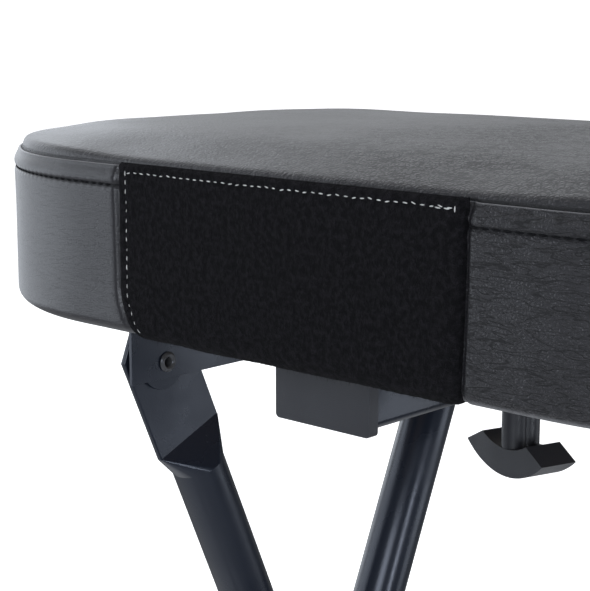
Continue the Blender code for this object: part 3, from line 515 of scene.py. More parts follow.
def rub_marks_group():
    """Scattered rubs and settled dust: patches broken up by a finer noise."""
    group, given, made = new_group(
        "rub_marks", {"Vector": "Vector", "Patch": "Float", "Cover": "Float"}, ("Mask",)
    )
    patch = math_node(group, "DIVIDE", 1.0, given["Patch"])
    fine = times(group, patch, 9.0)
    wide = add(group, "TexNoise", {"Vector": given["Vector"], "Scale": patch, "Detail": 3.0}).outputs[0]
    broken = add(group, "TexNoise", {"Vector": given["Vector"], "Scale": fine, "Detail": 6.0}).outputs[0]
    mixed = times(group, wide, broken)
    start = minus(group, 0.42, times(group, given["Cover"], 0.3))
    end = plus(group, start, 0.16)
    group.links.new(remap(group, mixed, start, end), made["Mask"])
    return group


GRAIN = vinyl_grain_group()
RELIEF = fine_relief_group()
RUBS = rub_marks_group()


def surface(name, colour, roughness, metallic=0.0, specular=0.5, sheen=0.0, tint=(1, 1, 1)):
    """A material whose even values are set on its shader; returns it with its tree, shader and place."""
    material = bpy.data.materials.new(name)
    material.use_nodes = True
    tree = material.node_tree
    shader = tree.nodes["Principled BSDF"]
    shader.inputs["Base Color"].default_value = (*colour, 1)
    shader.inputs["Roughness"].default_value = roughness
    shader.inputs["Metallic"].default_value = metallic
    shader.inputs["Specular IOR Level"].default_value = specular
    shader.inputs["Specular Tint"].default_value = (*tint, 1)
    shader.inputs["Sheen Weight"].default_value = sheen
    place = add(tree, "TexCoord").outputs["Object"]
    return material, tree, shader, place


def use_group(tree, group, **inputs):
    """Outputs of a node group that is placed in a material."""
    return add(tree, "Group", inputs, node_tree=group).outputs


def bump(tree, shader, height, depth, strength=1.0):
    made = add(tree, "Bump", {"Height": height, "Distance": depth, "Strength": strength})
    tree.links.new(made.outputs["Normal"], shader.inputs["Normal"])


def wall_folds(tree, sewing, on_wall):
    """Long and short creases round the wall: 1 on the open skin, and less along each crease; the mask shapes
    the bump and paints shade into the colour along each crease.
    """
    folds = 1.0
    for along, up, depth in WALL_FOLDS:
        drawn = add(tree, "Mapping", {"Vector": sewing, "Scale": (1 / along, 1 / up, 1.0)}).outputs[0]
        inputs = {"Vector": drawn, "Scale": 1.0, "Detail": 2.0, "Distortion": 0.5}
        waves = add(tree, "TexNoise", inputs).outputs[0]
        fold = math_node(tree, "ABSOLUTE", minus(tree, waves, 0.5))
        line = times(tree, remap(tree, fold, 0.0, 0.026, depth, 0.0), on_wall)
        folds = times(tree, folds, minus(tree, 1.0, line))
    return folds


def painted_edge_highlights(tree, height, slack):
    """Painted highlights: a pale line along the seam's fold and, on its slack side, round the lower rim."""
    low = RIM_LOW - SEAM
    fold = remap(tree, math_node(tree, "ABSOLUTE", height), 0.05 * MM, 0.6 * MM, 1.0, 0.0)
    rim = remap(tree, height, low + 0.9 * MM, low + 3.4 * MM, 0.9, 0.0)
    return plus(tree, fold, times(tree, rim, slack))


def stitch_puckers(tree, around, drop):
    """Puckers that the topstitch draws into the wall, one to a stitch."""
    beat = math_node(tree, "SINE", times(tree, around, 2 * math.pi / BAND_PITCH))
    near = remap(tree, drop, 0.0, PUCKER_REACH, 1.0, 0.0)
    return times(tree, times(tree, beat, near), 0.3)


def vinyl():
    """Black embossed vinyl: pebbled, creased sideways round the wall, and puckered along the topstitch; its
    colour carries painted shade in the creases and the topstitch groove, and painted highlights along the
    seam's fold and the lower rim.
    """
    material, tree, shader, place = surface("black_vinyl", (0.03, 0.03, 0.034), 0.45, specular=0.58)
    mottle = use_group(tree, RELIEF, Vector=place, Grain=0.5 * MM, Patch=60 * MM)["Mottle"]
    sewing = add(tree, "UVMap", uv_map="sewing").outputs[0]
    sewn = add(tree, "SeparateXYZ", {0: sewing}).outputs
    on_wall = remap(tree, sewn["Y"], 0.0, ON_TOP / 2, 1.0, 0.0)
    cell = remap(tree, on_wall, 0.0, 1.0, TOP_CELL, WALL_CELL)
    grain = use_group(tree, GRAIN, Vector=place, Cell=cell, Flatten=1.7)
    least = remap(tree, on_wall, 0.0, 1.0, TOP_SLACK, WALL_SLACK)
    across = add(tree, "SeparateXYZ", {0: place}).outputs["X"]
    slack = remap(tree, across, TAUT_END, SLACK_END, least, 1.0)
    folds = wall_folds(tree, sewing, on_wall)
    # shade is 1 on open skin and lower in creases and pebble grooves, where it paints shade into the colour
    shade = times(tree, folds, remap(tree, grain["Crease"], 0.0, 0.4, 0.62, 1.0))
    dark = times(tree, minus(tree, 1.0, shade), slack)
    drop = math_node(tree, "ABSOLUTE", plus(tree, sewn["Y"], TOPSTITCH_DROP))
    # Painted shade along the topstitch groove, darkest on the stitch line
    groove = remap(tree, drop, 0.0, GROOVE_SHADE_HALF, 0.2, 1.0)
    shade = times(tree, minus(tree, 1.0, dark), groove)
    # Skin colour with the painted shade of creases, pebble grooves and the topstitch groove
    skin = two_tone(tree, shade, PAINTED_CREASE_SHADE, SKIN_BLACK)
    # Painted highlights along the seam's fold and the lower rim, mixed over the skin colour
    inputs = {0: painted_edge_highlights(tree, sewn["Y"], slack), 6: skin, 7: (*EDGE_HIGHLIGHT_GREY, 1)}
    tree.links.new(add(tree, "Mix", inputs, data_type="RGBA").outputs[2], shader.inputs["Base Color"])
    wear = plus(tree, shade, times(tree, mottle, 0.12))
    tree.links.new(remap(tree, wear, 0.2, 1.0, 0.8, 0.375), shader.inputs["Roughness"])
    pebbles = times(tree, grain["Height"], remap(tree, on_wall, 0.0, 1.0, 1.4, 1.0))
    relief = plus(tree, pebbles, times(tree, folds, 1.1))
    relief = times(tree, relief, slack)
    puckers = stitch_puckers(tree, sewn["X"], drop)
    bump(tree, shader, plus(tree, relief, puckers), VINYL_RELIEF)
    return material


def felt():
    """Black brushed felt: matted tufts, fine fibre noise and a little sheen."""
    material, tree, shader, place = surface(
        "black_felt", (0.006, 0.006, 0.007), 0.95, specular=0.05, sheen=0.02
    )
    fibres = use_group(tree, RELIEF, Vector=place, Grain=0.35 * MM, Patch=2.6 * MM)
    mix = times(tree, fibres["Height"], fibres["Mottle"])
    tufts = two_tone(tree, mix, (0.005, 0.005, 0.006), (0.022, 0.020, 0.024))
    tree.links.new(tufts, shader.inputs["Base Color"])
    height = plus(tree, fibres["Height"], times(tree, fibres["Mottle"], 2.0))
    bump(tree, shader, height, 0.35 * MM)
    return material


def thread(name, dark, light):
    """Sewing thread with a little unevenness along its ply."""
    material, tree, shader, place = surface(name, light, 0.75, specular=0.15)
    ply = use_group(tree, RELIEF, Vector=place, Grain=0.3 * MM, Patch=5 * MM)
    tree.links.new(two_tone(tree, ply["Mottle"], dark, light), shader.inputs["Base Color"])
    bump(tree, shader, ply["Height"], 0.08 * MM)
    return material


def paint(name, colour, worn, roughness):
    """Sprayed black paint: faint orange peel, with rubbed patches that are lighter and duller."""
    material, tree, shader, place = surface(name, colour, roughness, tint=(0.85, 0.89, 1.0))
    skin = use_group(tree, RELIEF, Vector=place, Grain=1.1 * MM, Patch=45 * MM)
    rubs = use_group(tree, RUBS, Vector=place, Patch=22 * MM, Cover=0.15)["Mask"]
    tree.links.new(two_tone(tree, rubs, colour, worn), shader.inputs["Base Color"])
    dull = plus(tree, times(tree, rubs, 0.5), skin["Mottle"])
    gloss = remap(tree, dull, 0.0, 1.5, roughness - 0.05, roughness + 0.12)
    tree.links.new(gloss, shader.inputs["Roughness"])
    bump(tree, shader, skin["Height"], 0.02 * MM, 0.6)
    return material


def moulded(name, colour, worn, roughness, grain, depth):
    """Moulded plastic, rubber or foam: a fine skin texture and a little dust."""
    material, tree, shader, place = surface(name, colour, roughness, specular=0.4)
    skin = use_group(tree, RELIEF, Vector=place, Grain=grain, Patch=30 * MM)
    dust = use_group(tree, RUBS, Vector=place, Patch=16 * MM, Cover=0.35)["Mask"]
    tree.links.new(two_tone(tree, dust, colour, worn), shader.inputs["Base Color"])
    gloss = remap(tree, skin["Mottle"], 0, 1, roughness - 0.06, roughness + 0.06)
    tree.links.new(gloss, shader.inputs["Roughness"])
    bump(tree, shader, skin["Height"], depth)
    return material


def plated(name, colour, stained, roughness):
    """Plated steel with drawn lines and dull stains."""
    material, tree, shader, place = surface(name, colour, roughness, metallic=1.0)
    lines = add(tree, "Mapping", {"Vector": place, "Scale": (400.0, 3500.0, 3500.0)}).outputs[0]
    drawn = add(tree, "TexNoise", {"Vector": lines, "Scale": 1.0, "Detail": 2.0}).outputs[0]
    stain = use_group(tree, RUBS, Vector=place, Patch=6 * MM, Cover=0.4)["Mask"]
    tree.links.new(two_tone(tree, stain, colour, stained), shader.inputs["Base Color"])
    tree.links.new(remap(tree, stain, 0, 1, roughness, roughness + 0.2), shader.inputs["Roughness"])
    bump(tree, shader, drawn, 0.02 * MM, 0.5)
    return material


def plywood():
    """Raw plywood: long grain along the board with darker rings."""
    material, tree, shader, place = surface("plywood", (0.42, 0.29, 0.17), 0.7)
    grain = add(tree, "Mapping", {"Vector": place, "Scale": (5.0, 160.0, 160.0)}).outputs[0]
    inputs = {"Vector": grain, "Scale": 1.0, "Detail": 6.0, "Distortion": 0.6}
    shade = remap(tree, add(tree, "TexNoise", inputs).outputs[0], 0.25, 0.75)
    pores = use_group(tree, RELIEF, Vector=grain, Grain=0.08, Patch=0.6)
    rings = two_tone(tree, shade, (0.30, 0.19, 0.10), (0.50, 0.36, 0.22))
    tree.links.new(rings, shader.inputs["Base Color"])
    bump(tree, shader, plus(tree, shade, pores["Height"]), 0.12 * MM)
    return material


VINYL = vinyl()
FELT = felt()
WHITE_THREAD = thread("white_thread", (0.55, 0.55, 0.54), (0.80, 0.80, 0.78))
BLACK_THREAD = thread("black_thread", (0.003, 0.003, 0.004), (0.007, 0.007, 0.008))
PAINT = paint("black_paint", (0.010, 0.013, 0.021), (0.020, 0.023, 0.030), 0.30)
RIVET_PAINT = paint("rivet_paint", (0.06, 0.06, 0.062), (0.2, 0.2, 0.2), 0.28)
PLASTIC = moulded("black_plastic", (0.027, 0.028, 0.034), (0.034, 0.034, 0.039), 0.42, 0.45 * MM, 0.03 * MM)
RUBBER = moulded("black_rubber", (0.016, 0.016, 0.017), (0.05, 0.049, 0.047), 0.8, 0.8 * MM, 0.05 * MM)
FOAM = moulded("black_foam", (0.018, 0.018, 0.019), (0.035, 0.035, 0.036), 0.92, 0.9 * MM, 0.25 * MM)
ZINC = plated("bright_zinc", (0.60, 0.60, 0.61), (0.42, 0.41, 0.40), 0.3)
NYLON = paint("black_nylon", (0.010, 0.013, 0.021), (0.018, 0.02, 0.026), 0.34)
PLYWOOD = plywood()


# Seat cover


def stops(first, last, least=2):
    """Even places between two ends, both left out."""
    count = max(round(abs(last - first) / COLUMN), least)
    return [first + (last - first) * i / count for i in range(1, count)]


def seat_columns():
    """(anchor, outward normal, radius) of each upright line of the cover, from the front's left end round."""
    columns = []
    valley = [stop * MM for stop in VALLEY_STOPS]
    left_edge = -FELT_HIGH.x - FELT_SPREAD
    right_edge = FELT_HIGH.x - FELT_LEAN / 2
    back = SEAT_HIGH.y

    def side(points, normal, radius):
        for point in points:
            columns.append((Vector(point) - Vector(normal) * radius, Vector(normal), radius))

    def corner(centre, radius, start):
        for i in range(CORNER_STEPS + 1):
            angle = math.radians(start + 90 * i / CORNER_STEPS)
            columns.append((Vector(centre), Vector((math.cos(angle), math.sin(angle))), radius))

    front_end = SEAT_HALF - FRONT_CORNER
    front_x = stops(-front_end, left_edge + valley[0]) + [left_edge + v for v in valley]
    front_x += stops(left_edge + valley[-1], right_edge + valley[0])
    front_x += [right_edge + v for v in valley] + stops(right_edge + valley[-1], front_end)
    side([(x, FRONT) for x in front_x], (0, -1), FRONT_CORNER)
    corner((SEAT_HALF - FRONT_CORNER, FRONT + FRONT_CORNER), FRONT_CORNER, 270)
    side_y = stops(FRONT + FRONT_CORNER, back - REAR_CORNER)
    side([(SEAT_HALF, y) for y in side_y], (1, 0), REAR_CORNER)
    corner((SEAT_HALF - REAR_CORNER, back - REAR_CORNER), REAR_CORNER, 0)
    rear_x = stops(SEAT_HALF - REAR_CORNER, REAR_CORNER - SEAT_HALF)
    side([(x, back) for x in rear_x], (0, 1), REAR_CORNER)
    corner((REAR_CORNER - SEAT_HALF, back - REAR_CORNER), REAR_CORNER, 90)
    side([(-SEAT_HALF, y) for y in reversed(side_y)], (-1, 0), REAR_CORNER)
    corner((FRONT_CORNER - SEAT_HALF, FRONT + FRONT_CORNER), FRONT_CORNER, 180)
    if len(columns) % 2:
        columns.pop()
    return columns


COLUMNS = seat_columns()


def on_plan(column, offset):
    anchor, normal, radius = column
    return anchor + normal * (radius + offset)


def felt_half(side, run):
    """Half the felt's width, down from the seam: cut round at the lower left, leaning in at the right."""
    if side > 0:
        return FELT_HIGH.x - FELT_MARGIN - FELT_LEAN * min(run / (SEAM - RIM_LOW), 1)
    lower = max(run - (SEAM - RIM_LOW - FELT_ROUNDING), 0) / (FELT_ROUNDING / 2)
    return FELT_HIGH.x + FELT_SPREAD - FELT_MARGIN - FELT_CURVE * lower**1.5


def from_felt(x, z):
    """How far a place on the seat's front lies outside the felt's edge."""
    return abs(x) - felt_half(x, SEAM - z) - FELT_MARGIN


def top_rise(x, y, inset):
    """Height of the top panel over the seam: a roll, fuller at the front corners, a shoulder and a crown."""
    behind = max(inset - SEAM_PULL - LEDGE, 0)
    end = min(max((abs(x) - FELT_HIGH.x) / ROLL_EASE, 0), 1)
    front = min(max(1 - (y - FRONT) / (SEAT_DEPTH / 2), 0), 1)
    gain = ROLL_GAIN * front * (1 - math.cos(math.pi * end)) / 2
    roll = (ROLL_HEIGHT + gain) * math.sqrt(1 - (1 - min(behind / ROLL_WIDTH, 1)) ** 2)
    shoulder = (SHOULDER_HEIGHT - gain) * math.sin(math.pi / 2 * min(behind / SHOULDER_WIDTH, 1))
    centre = FRONT + SEAT_DEPTH / 2
    share_x = min(abs(x) / SEAT_HALF, 1)
    share_y = min(abs(y - centre) / (SEAT_DEPTH / 2), 1)
    crown = SEAT_HIGH.z - SEAM - ROLL_START - ROLL_HEIGHT - SHOULDER_HEIGHT
    return ROLL_START + roll + shoulder + crown * (1 - share_x**4) * (1 - share_y**4)


def cover_levels():
    """(offset, height, held) of each ring of the cover, from the pocket under the board to the top's core."""
    rim_centre = RIM_LOW + RIM_RADIUS
    levels = [(-POCKET, BOARD_HIGH.z + CLEARANCE, True)]
    levels.append((-POCKET, rim_centre, True))
    levels.append((-POCKET + POCKET_LIP, RIM_LOW + POCKET_RISE, True))
    for i in range(RIM_STEPS + 1):
        angle = math.pi / 2 * (3 + i / RIM_STEPS)
        offset = RIM_RADIUS * (math.cos(angle) - 1) - WALL_WAIST
        levels.append((offset, rim_centre + RIM_RADIUS * math.sin(angle), i <= RIM_STEPS / 2))
    stitch = SEAM - TOPSTITCH_DROP
    wall_top = stitch - TOPSTITCH_CLEAR
    for i in range(1, WALL_STEPS + 1):
        share = i / WALL_STEPS
        levels.append((-WALL_WAIST * (1 - share**4), rim_centre + (wall_top - rim_centre) * share, False))
    for step in TOPSTITCH_STOPS:
        dip = TOPSTITCH_DIP * math.exp(-((step / TOPSTITCH_REACH) ** 2))
        levels.append((-dip, stitch + step * MM, step == 0))
    for share in BAND_STOPS:
        bulge = BAND_SWELL * math.sin(math.pi * share)
        height = stitch + (TOPSTITCH_DROP - FOLD) * share
        levels.append((bulge - SEAM_PULL * share**1.6, height, share == 1.0))
    for angle in (math.radians(turn) for turn in FOLD_TURNS):
        back = FOLD * (1 - math.cos(angle))
        levels.append((-SEAM_PULL - back, SEAM - FOLD + FOLD * math.sin(angle), True))
    levels.append((-SEAM_PULL - LEDGE, SEAM - 1.2 * FOLD, True))
    levels.append((-SEAM_PULL - LEDGE, SEAM + LEDGE_RISE, True))
    for inset in TOP_STOPS:
        levels.append((-SEAM_PULL - inset * MM, None, False))
    return levels


def inflate(piece, held):
    """Where the cloth solver puts each point of a piece that it blows up, with the held points kept."""
    piece.vertex_groups.new(name="held").add(held, 1, "REPLACE")
    cloth = piece.modifiers.new("swell", "CLOTH")
    cloth.settings.vertex_group_mass = "held"
    cloth.settings.use_pressure = True
    cloth.settings.uniform_pressure_force = SWELL_PRESSURE
    cloth.settings.effector_weights.gravity = 0
    cloth.settings.tension_stiffness = SWELL_STIFFNESS
    cloth.settings.compression_stiffness = SWELL_STIFFNESS
    cloth.settings.bending_stiffness = SWELL_BENDING
    cloth.collision_settings.use_collision = False
    cloth.point_cache.frame_end = SWELL_FRAMES
    for step in range(1, SWELL_FRAMES + 1):
        bpy.context.scene.frame_set(step)
    solved = piece.evaluated_get(bpy.context.evaluated_depsgraph_get())
    places = [vertex.co.copy() for vertex in solved.data.vertices]
    piece.modifiers.remove(cloth)
    bpy.context.scene.frame_set(1)
    return places


def swell(piece, held, freedom):
    """Swell a soft piece: each point's capped move is evened out with its neighbours' moves."""
    blown = inflate(piece, held)
    shifts = []
    for i, vertex in enumerate(piece.data.vertices):
        shift = blown[i] - vertex.co
        shifts.append(shift * (freedom.get(i, 1) * SWELL_REACH / (SWELL_REACH + shift.length)))
    still = set(held) | {i for i, share in freedom.items() if share == 0}
    places = KDTree(len(shifts))
    for i, vertex in enumerate(piece.data.vertices):
        places.insert(vertex.co, i)
    places.balance()
    evened = {}
    for i, vertex in enumerate(piece.data.vertices):
        if i in still:
            continue
        total = Vector()
        weight = 0.0
        for _, k, gap in places.find_range(vertex.co, SWELL_EVEN):
            share = (1 - (gap / SWELL_EVEN) ** 2) ** 2
            total += shifts[k] * share
            weight += share
        evened[i] = total / weight
    for i, shift in evened.items():
        piece.data.vertices[i].co += shift


def close_ring(piece, ring):
    """Fill a ring of points with a grid of faces."""
    edit(piece)
    bpy.ops.mesh.select_mode(type="EDGE")
    bpy.ops.mesh.select_all(action="DESELECT")
    mesh = bmesh.from_edit_mesh(piece.data)
    mesh.verts.ensure_lookup_table()
    points = {mesh.verts[i] for i in ring}
    for edge in mesh.edges:
        edge.select_set(edge.verts[0] in points and edge.verts[1] in points)
    bmesh.update_edit_mesh(piece.data)
    bpy.ops.mesh.fill_grid(span=len(points) // 4, offset=len(points) // 8)
    bpy.ops.mesh.select_mode(type="VERT")
    bpy.ops.object.mode_set(mode="OBJECT")


def cover_point(column, offset, height):
    """A point of the cover; the wall is drawn in beside and under the felt, and a little uneven."""
    spot = on_plan(column, offset)
    if height is None:
        return (spot.x, spot.y, SEAM + top_rise(spot.x, spot.y, -offset))
    push = 0.0
    if RIM_LOW < height <= SEAM:
        if spot.y < FRONT + RIM_RADIUS and column[1].y == -1:
            outside = from_felt(spot.x, height)
            width = VALLEY_WIDTH if outside > 0 else 3 * VALLEY_WIDTH
            valley = VALLEY_DEPTH * math.exp(-((outside / width) ** 2))
            push -= valley if outside > 0 else max(valley, FELT_BED)
        push += WALL_UNEVEN * noise.noise(Vector((spot.x, spot.y, height)) / WALL_WAVE)
    spot += column[1] * push
    return (spot.x, spot.y, height)


def cover_mesh(levels):
    """The cover's rings joined up; each corner keeps its way round the seat and its height from the seam."""
    count = len(COLUMNS)
    around = [0.0]
    for a, b in zip(COLUMNS, COLUMNS[1:] + COLUMNS[:1]):
        around.append(around[-1] + (on_plan(b, 0) - on_plan(a, 0)).length)
    bm = bmesh.new()
    rings = []
    for offset, height, _ in levels:
        rings.append([bm.verts.new(cover_point(column, offset, height)) for column in COLUMNS])
    sewing = bm.loops.layers.uv.new("sewing")
    for number, (lower, upper) in enumerate(zip(rings, rings[1:])):
        for i in range(count):
            face = bm.faces.new((lower[i - 1], lower[i], upper[i], upper[i - 1]))
            before, after = ((i - 1, i) if i else (count - 1, count))
            for loop, (column, level) in zip(face.loops, ((before, 0), (after, 0), (after, 1), (before, 1))):
                height = levels[number + level][1]
                loop[sewing].uv = (around[column], ON_TOP if height is None else height - SEAM)
    piece = new_piece("vinyl_cover")
    bm.verts.index_update()
    bm.to_mesh(piece.data)
    bm.free()
    return piece


def cover_freedom(levels):
    """The share of its swell that each wall point on the seat's front takes: none of it under the felt."""
    freedom = {}
    for i, column in enumerate(COLUMNS):
        for level, (_, height, _) in enumerate(levels):
            if column[1].y == -1 and height is not None:
                outside = from_felt(on_plan(column, 0).x, height)
                freedom[level * len(COLUMNS) + i] = min(max(outside / SWELL_EASE, 0), 1)
    return freedom


def add_cover():
    """Vinyl cover: a wall with a sewn band, felt valleys and a rolled rim, and a crowned top panel."""
    levels = cover_levels()
    count = len(COLUMNS)
    ringed = len(levels) * count
    piece = cover_mesh(levels)
    close_ring(piece, range(ringed - count, ringed))
    close_ring(piece, range(count))
    face_outwards(piece)
    for vertex in piece.data.vertices[ringed:]:
        if vertex.co.z > SEAM:
            vertex.co.z = SEAM + top_rise(vertex.co.x, vertex.co.y, CORE_INSET)
    held = [level * count + i for level, row in enumerate(levels) if row[2] for i in range(count)]
    swell(piece, held, cover_freedom(levels))
    stitch_level = next(i for i, row in enumerate(levels) if row[1] == SEAM - TOPSTITCH_DROP)
    line = [piece.data.vertices[stitch_level * count + i].co.copy() for i in range(count)]
    apply_modifier(piece, "SUBSURF", levels=1, render_levels=1)
    settle(piece, sharp=70)
    dress(piece, VINYL, "seat_cushion")
    return line


# Felt facing


def felt_length():
    return SEAM - RIM_LOW - RIM_RADIUS + (RIM_RADIUS + FELT_PROUD) * FELT_WRAP


def felt_place(across, run, lift=0.0):
    """Point and outward normal on the felt, from its middle and down from the seam, round the rim."""
    straight = SEAM - RIM_LOW - RIM_RADIUS
    proud = FELT_PROUD + lift
    if run <= straight:
        return Vector((across, FRONT - proud, SEAM - run)), Vector((0, -1, 0))
    angle = (run - straight) / (RIM_RADIUS + FELT_PROUD)
    outward = Vector((0, -math.cos(angle), -math.sin(angle)))
    centre = Vector((across, FRONT + RIM_RADIUS, RIM_LOW + RIM_RADIUS))
    return centre + outward * (RIM_RADIUS + proud), outward


def felt_sewn(side):
    """How far the side stitching lies inside the felt's edge."""
    return FELT_SEWN + (FELT_SPREAD if side < 0 else 0)


def felt_lift(across, run, half):
    """How far the felt stands from its even face: tucked edges, stitched lines and soft unevenness."""
    edge = min(half - abs(across), run + FELT_RISE + FELT_LIP)
    tuck = -FELT_TUCK * math.exp(-max(edge, 0) / TUCK_REACH)
    stitched = min(abs(run - FELT_TOP_SEWN), abs(half - felt_sewn(across) - abs(across)))
    sewn = -SEWN_DEPTH * math.exp(-((stitched / SEWN_REACH) ** 2))
    spot = Vector((across, run, 0))
    waves = sum(height * noise.noise(spot / length) for height, length in FELT_WAVES)
    return tuck + sewn + waves


def add_felt():
    """Felt facing: a grid wrapped down the seat's front and round its rim, then given its thickness."""
    length = FELT_RISE + felt_length()
    columns = round(2 * FELT_HIGH.x / FELT_GRID)
    rows = round(length / FELT_GRID)
    fresh()
    bpy.ops.mesh.primitive_grid_add(x_subdivisions=columns, y_subdivisions=rows, size=1)
    piece = bpy.context.object
    piece.name = "felt_facing"
    for vertex in piece.data.vertices:
        share = vertex.co.x * 2
        run = (0.5 - vertex.co.y) * length - FELT_RISE
        half = felt_half(share, run)
        across = share * half
        vertex.co, _ = felt_place(across, run, felt_lift(across, run, half))
    face_outwards(piece)
    if piece.data.polygons[len(piece.data.polygons) // 4].normal.y > 0:
        edit(piece)
        bpy.ops.mesh.flip_normals()
        bpy.ops.object.mode_set(mode="OBJECT")
    apply_modifier(piece, "SOLIDIFY", thickness=FELT_THICKNESS, offset=-1)
    pick(piece)
    bpy.ops.object.shade_smooth_by_angle(angle=math.radians(60))
    dress(piece, FELT, "felt_panel")


def fibre(root, outward, lean, reach):
    """Three small triangles of points along a fibre that rises from the felt, leans over and thins out."""
    points = []
    for share in (0, 0.5, 1):
        spot = root + (outward * share * 0.55 + lean * share**1.6 * 0.7) * reach - outward * FIBRE_ROOT
        thin = FIBRE_WIDTH * (1 - 0.8 * share)
        for k in range(3):
            angle = 2 * math.pi * k / 3
            points.append(spot + Vector((math.cos(angle), math.sin(angle), 0.5 * math.sin(angle))) * thin)
    return points


def add_nap():
    """Loose fibres that stand off the felt, thickest along its lower edge."""
    length = felt_length()
    points = []
    faces = []
    for _ in range(NAP_FIBRES):
        run = length * max(dice.random(), dice.random())
        half = felt_half(1, run) - NAP_INSET
        across = half * (2 * dice.random() - 1)
        root, outward = felt_place(across, run, felt_lift(across, run, half))
        lean = Vector((dice.gauss(0, 1), dice.gauss(0, 0.4), dice.gauss(0, 1) - 0.4)).normalized()
        first = len(points)
        points += fibre(root, outward, lean, FIBRE_SHORT + FIBRE_SPREAD * dice.random())
        for ring in (first, first + 3):
            for k in range(3):
                a = ring + k
                b = ring + (k + 1) % 3
                faces.append((a, b, b + 3, a + 3))
        faces.append((first + 2, first + 1, first))
        faces.append((first + 6, first + 7, first + 8))
    piece = new_piece("felt_nap", points, (), faces)
    settle(piece)
    trim(piece, FELT, "felt_panel")


# Sewing


def stitch_shape(length, radius):
    """One stitch of two-ply thread, which rises from its hole, lies along the seam and dips back in."""
    fresh()
    bpy.ops.mesh.primitive_uv_sphere_add(segments=8, ring_count=7, radius=1)
    piece = bpy.context.object
    bpy.ops.object.mode_set(mode="EDIT")
    bpy.ops.transform.rotate(value=math.pi / 2, orient_axis="Y", center_override=(0, 0, 0))
    bpy.ops.object.mode_set(mode="OBJECT")
    for vertex in piece.data.vertices:
        share = vertex.co.x
        angle = math.atan2(vertex.co.z, vertex.co.y)
        ply = 1 + 0.16 * math.cos(2 * angle + 4 * share)
        vertex.co.x *= length / 2
        vertex.co.y *= radius * ply
        vertex.co.z = vertex.co.z * radius * ply + radius * (0.5 - 1.1 * share**2)
    return piece


def sew(name, stitch, places):
    """One mesh of copies of a stitch, each at its own (point, along, outward)."""
    bm = bmesh.new()
    for point, along, outward in places:
        along = along.normalized()
        across = outward.cross(along).normalized()
        turn = Matrix((along, across, along.cross(across))).transposed().to_4x4()
        copy = stitch.data.copy()
        copy.transform(Matrix.Translation(point) @ turn)
        bm.from_mesh(copy)
        bpy.data.meshes.remove(copy)
    piece = new_piece(name)
    bm.to_mesh(piece.data)
    bm.free()
    bpy.data.objects.remove(stitch)
    return settle(piece, sharp=80)


def walk(points, pitch, closed=False):
    """Evenly pitched (point, direction, place in the list) along a line of points."""
    line = list(points) + ([points[0]] if closed else [])
    left = pitch / 2
    for i, (a, b) in enumerate(zip(line, line[1:])):
        step = b - a
        travelled = 0.0
        while step.length - travelled >= left:
            travelled += left
            yield a + step * (travelled / step.length), step.normalized(), i
            left = pitch
        left -= step.length - travelled


def add_felt_stitching():
    """White topstitch along the felt's top and down both sides; the right-hand row sinks into the nap."""
    inset = FELT_TOP_SEWN
    straight = SEAM - RIM_LOW - 2 * MM
    places = []

    def row(route, sink):
        for spot, along, _ in walk([Vector((*p, 0)) for p in route], FELT_PITCH):
            half = felt_half(spot.x, spot.y)
            jitter = Vector((dice.gauss(0, 1), dice.gauss(0, 1), 0)) * STITCH_JITTER
            lift = felt_lift(spot.x, spot.y, half) - sink * (0.6 + 0.8 * dice.random())
            lift -= STITCH_SETTLE * dice.random()
            point, outward = felt_place(spot.x + jitter.x, spot.y + jitter.y, lift)
            ahead, _ = felt_place(spot.x + along.x * MM, spot.y + along.y * MM, lift)
            places.append((point, ahead - point, outward))

    def edge(side, run):
        return (side * (felt_half(side, run) - felt_sewn(side)), run)

    side_runs = [inset + (straight - inset) * i / 12 for i in range(13)]
    row([edge(-1, inset), edge(1, inset)], 0.0)
    row([edge(-1, SIDE_ROW_TOP)] + [edge(-1, run) for run in side_runs], 0.05 * MM)
    row([edge(1, SIDE_ROW_TOP), edge(1, inset + FELT_PITCH)], 0.0)
    backtack = Vector((2.4 * FELT_PITCH, -0.5 * MM))
    row([Vector(edge(1, inset)) - backtack, edge(1, inset + 0.5 * MM)], -0.1 * MM)
    row([edge(1, run) for run in side_runs[1:]], BURIED)
    piece = sew("felt_topstitch", stitch_shape(FELT_STITCH, FELT_THREAD), places)
    trim(piece, WHITE_THREAD, "felt_panel")


def add_band_stitching(line):
    """Black topstitch round the wall, from one edge of the felt to the other."""
    normals = [Vector((*column[1], 0)) for column in COLUMNS]
    places = []
    for spot, along, i in walk(line, BAND_PITCH, closed=True):
        if spot.y < FRONT + RIM_RADIUS and from_felt(spot.x, spot.z) < BAND_STITCH_CLEAR:
            continue
        places.append((spot + normals[i] * BAND_STITCH_PROUD, along, normals[i]))
    piece = sew("band_topstitch", stitch_shape(BAND_STITCH, BAND_THREAD), places)
    trim(piece, BLACK_THREAD, "seat_cushion")


# Under the seat


def add_underside():
    """Plywood board, the cover's turned-under edge stapled to it, and the seat's rails."""
    refine("seat_board", 0, PLYWOOD)
    add_turn_under()
    for side in SIDES:
        refine(f"seat_rail_{side}", 0.35 * MM, PAINT)
    add_staples()


def add_turn_under():
    """The cover's edge under the board: a thin flat band, ragged along its inner edge."""
    outer = POCKET + 0.4 * MM
    low = BOARD_LOW.z - 0.25 * MM
    high = BOARD_LOW.z - 0.02 * MM
    section = ((-outer, low), (-TURN_UNDER, low), (-TURN_UNDER, high), (-outer, high))
    points = []
    for offset, z in section:
        for i, column in enumerate(COLUMNS):
            ragged = RAGGED * noise.noise(Vector((i * 0.9, 0, 0))) if offset == -TURN_UNDER else 0
            spot = on_plan(column, offset + ragged)
            points.append((spot.x, spot.y, z))
    count = len(COLUMNS)
    faces = []
    for corner in range(len(section)):
        here = corner * count
        there = (corner + 1) % len(section) * count
        for i in range(count):
            after = (i + 1) % count
            faces.append((here + i, here + after, there + after, there + i))
    trim(settle(new_piece("cover_turn_under", points, (), faces)), VINYL, "seat_cushion")


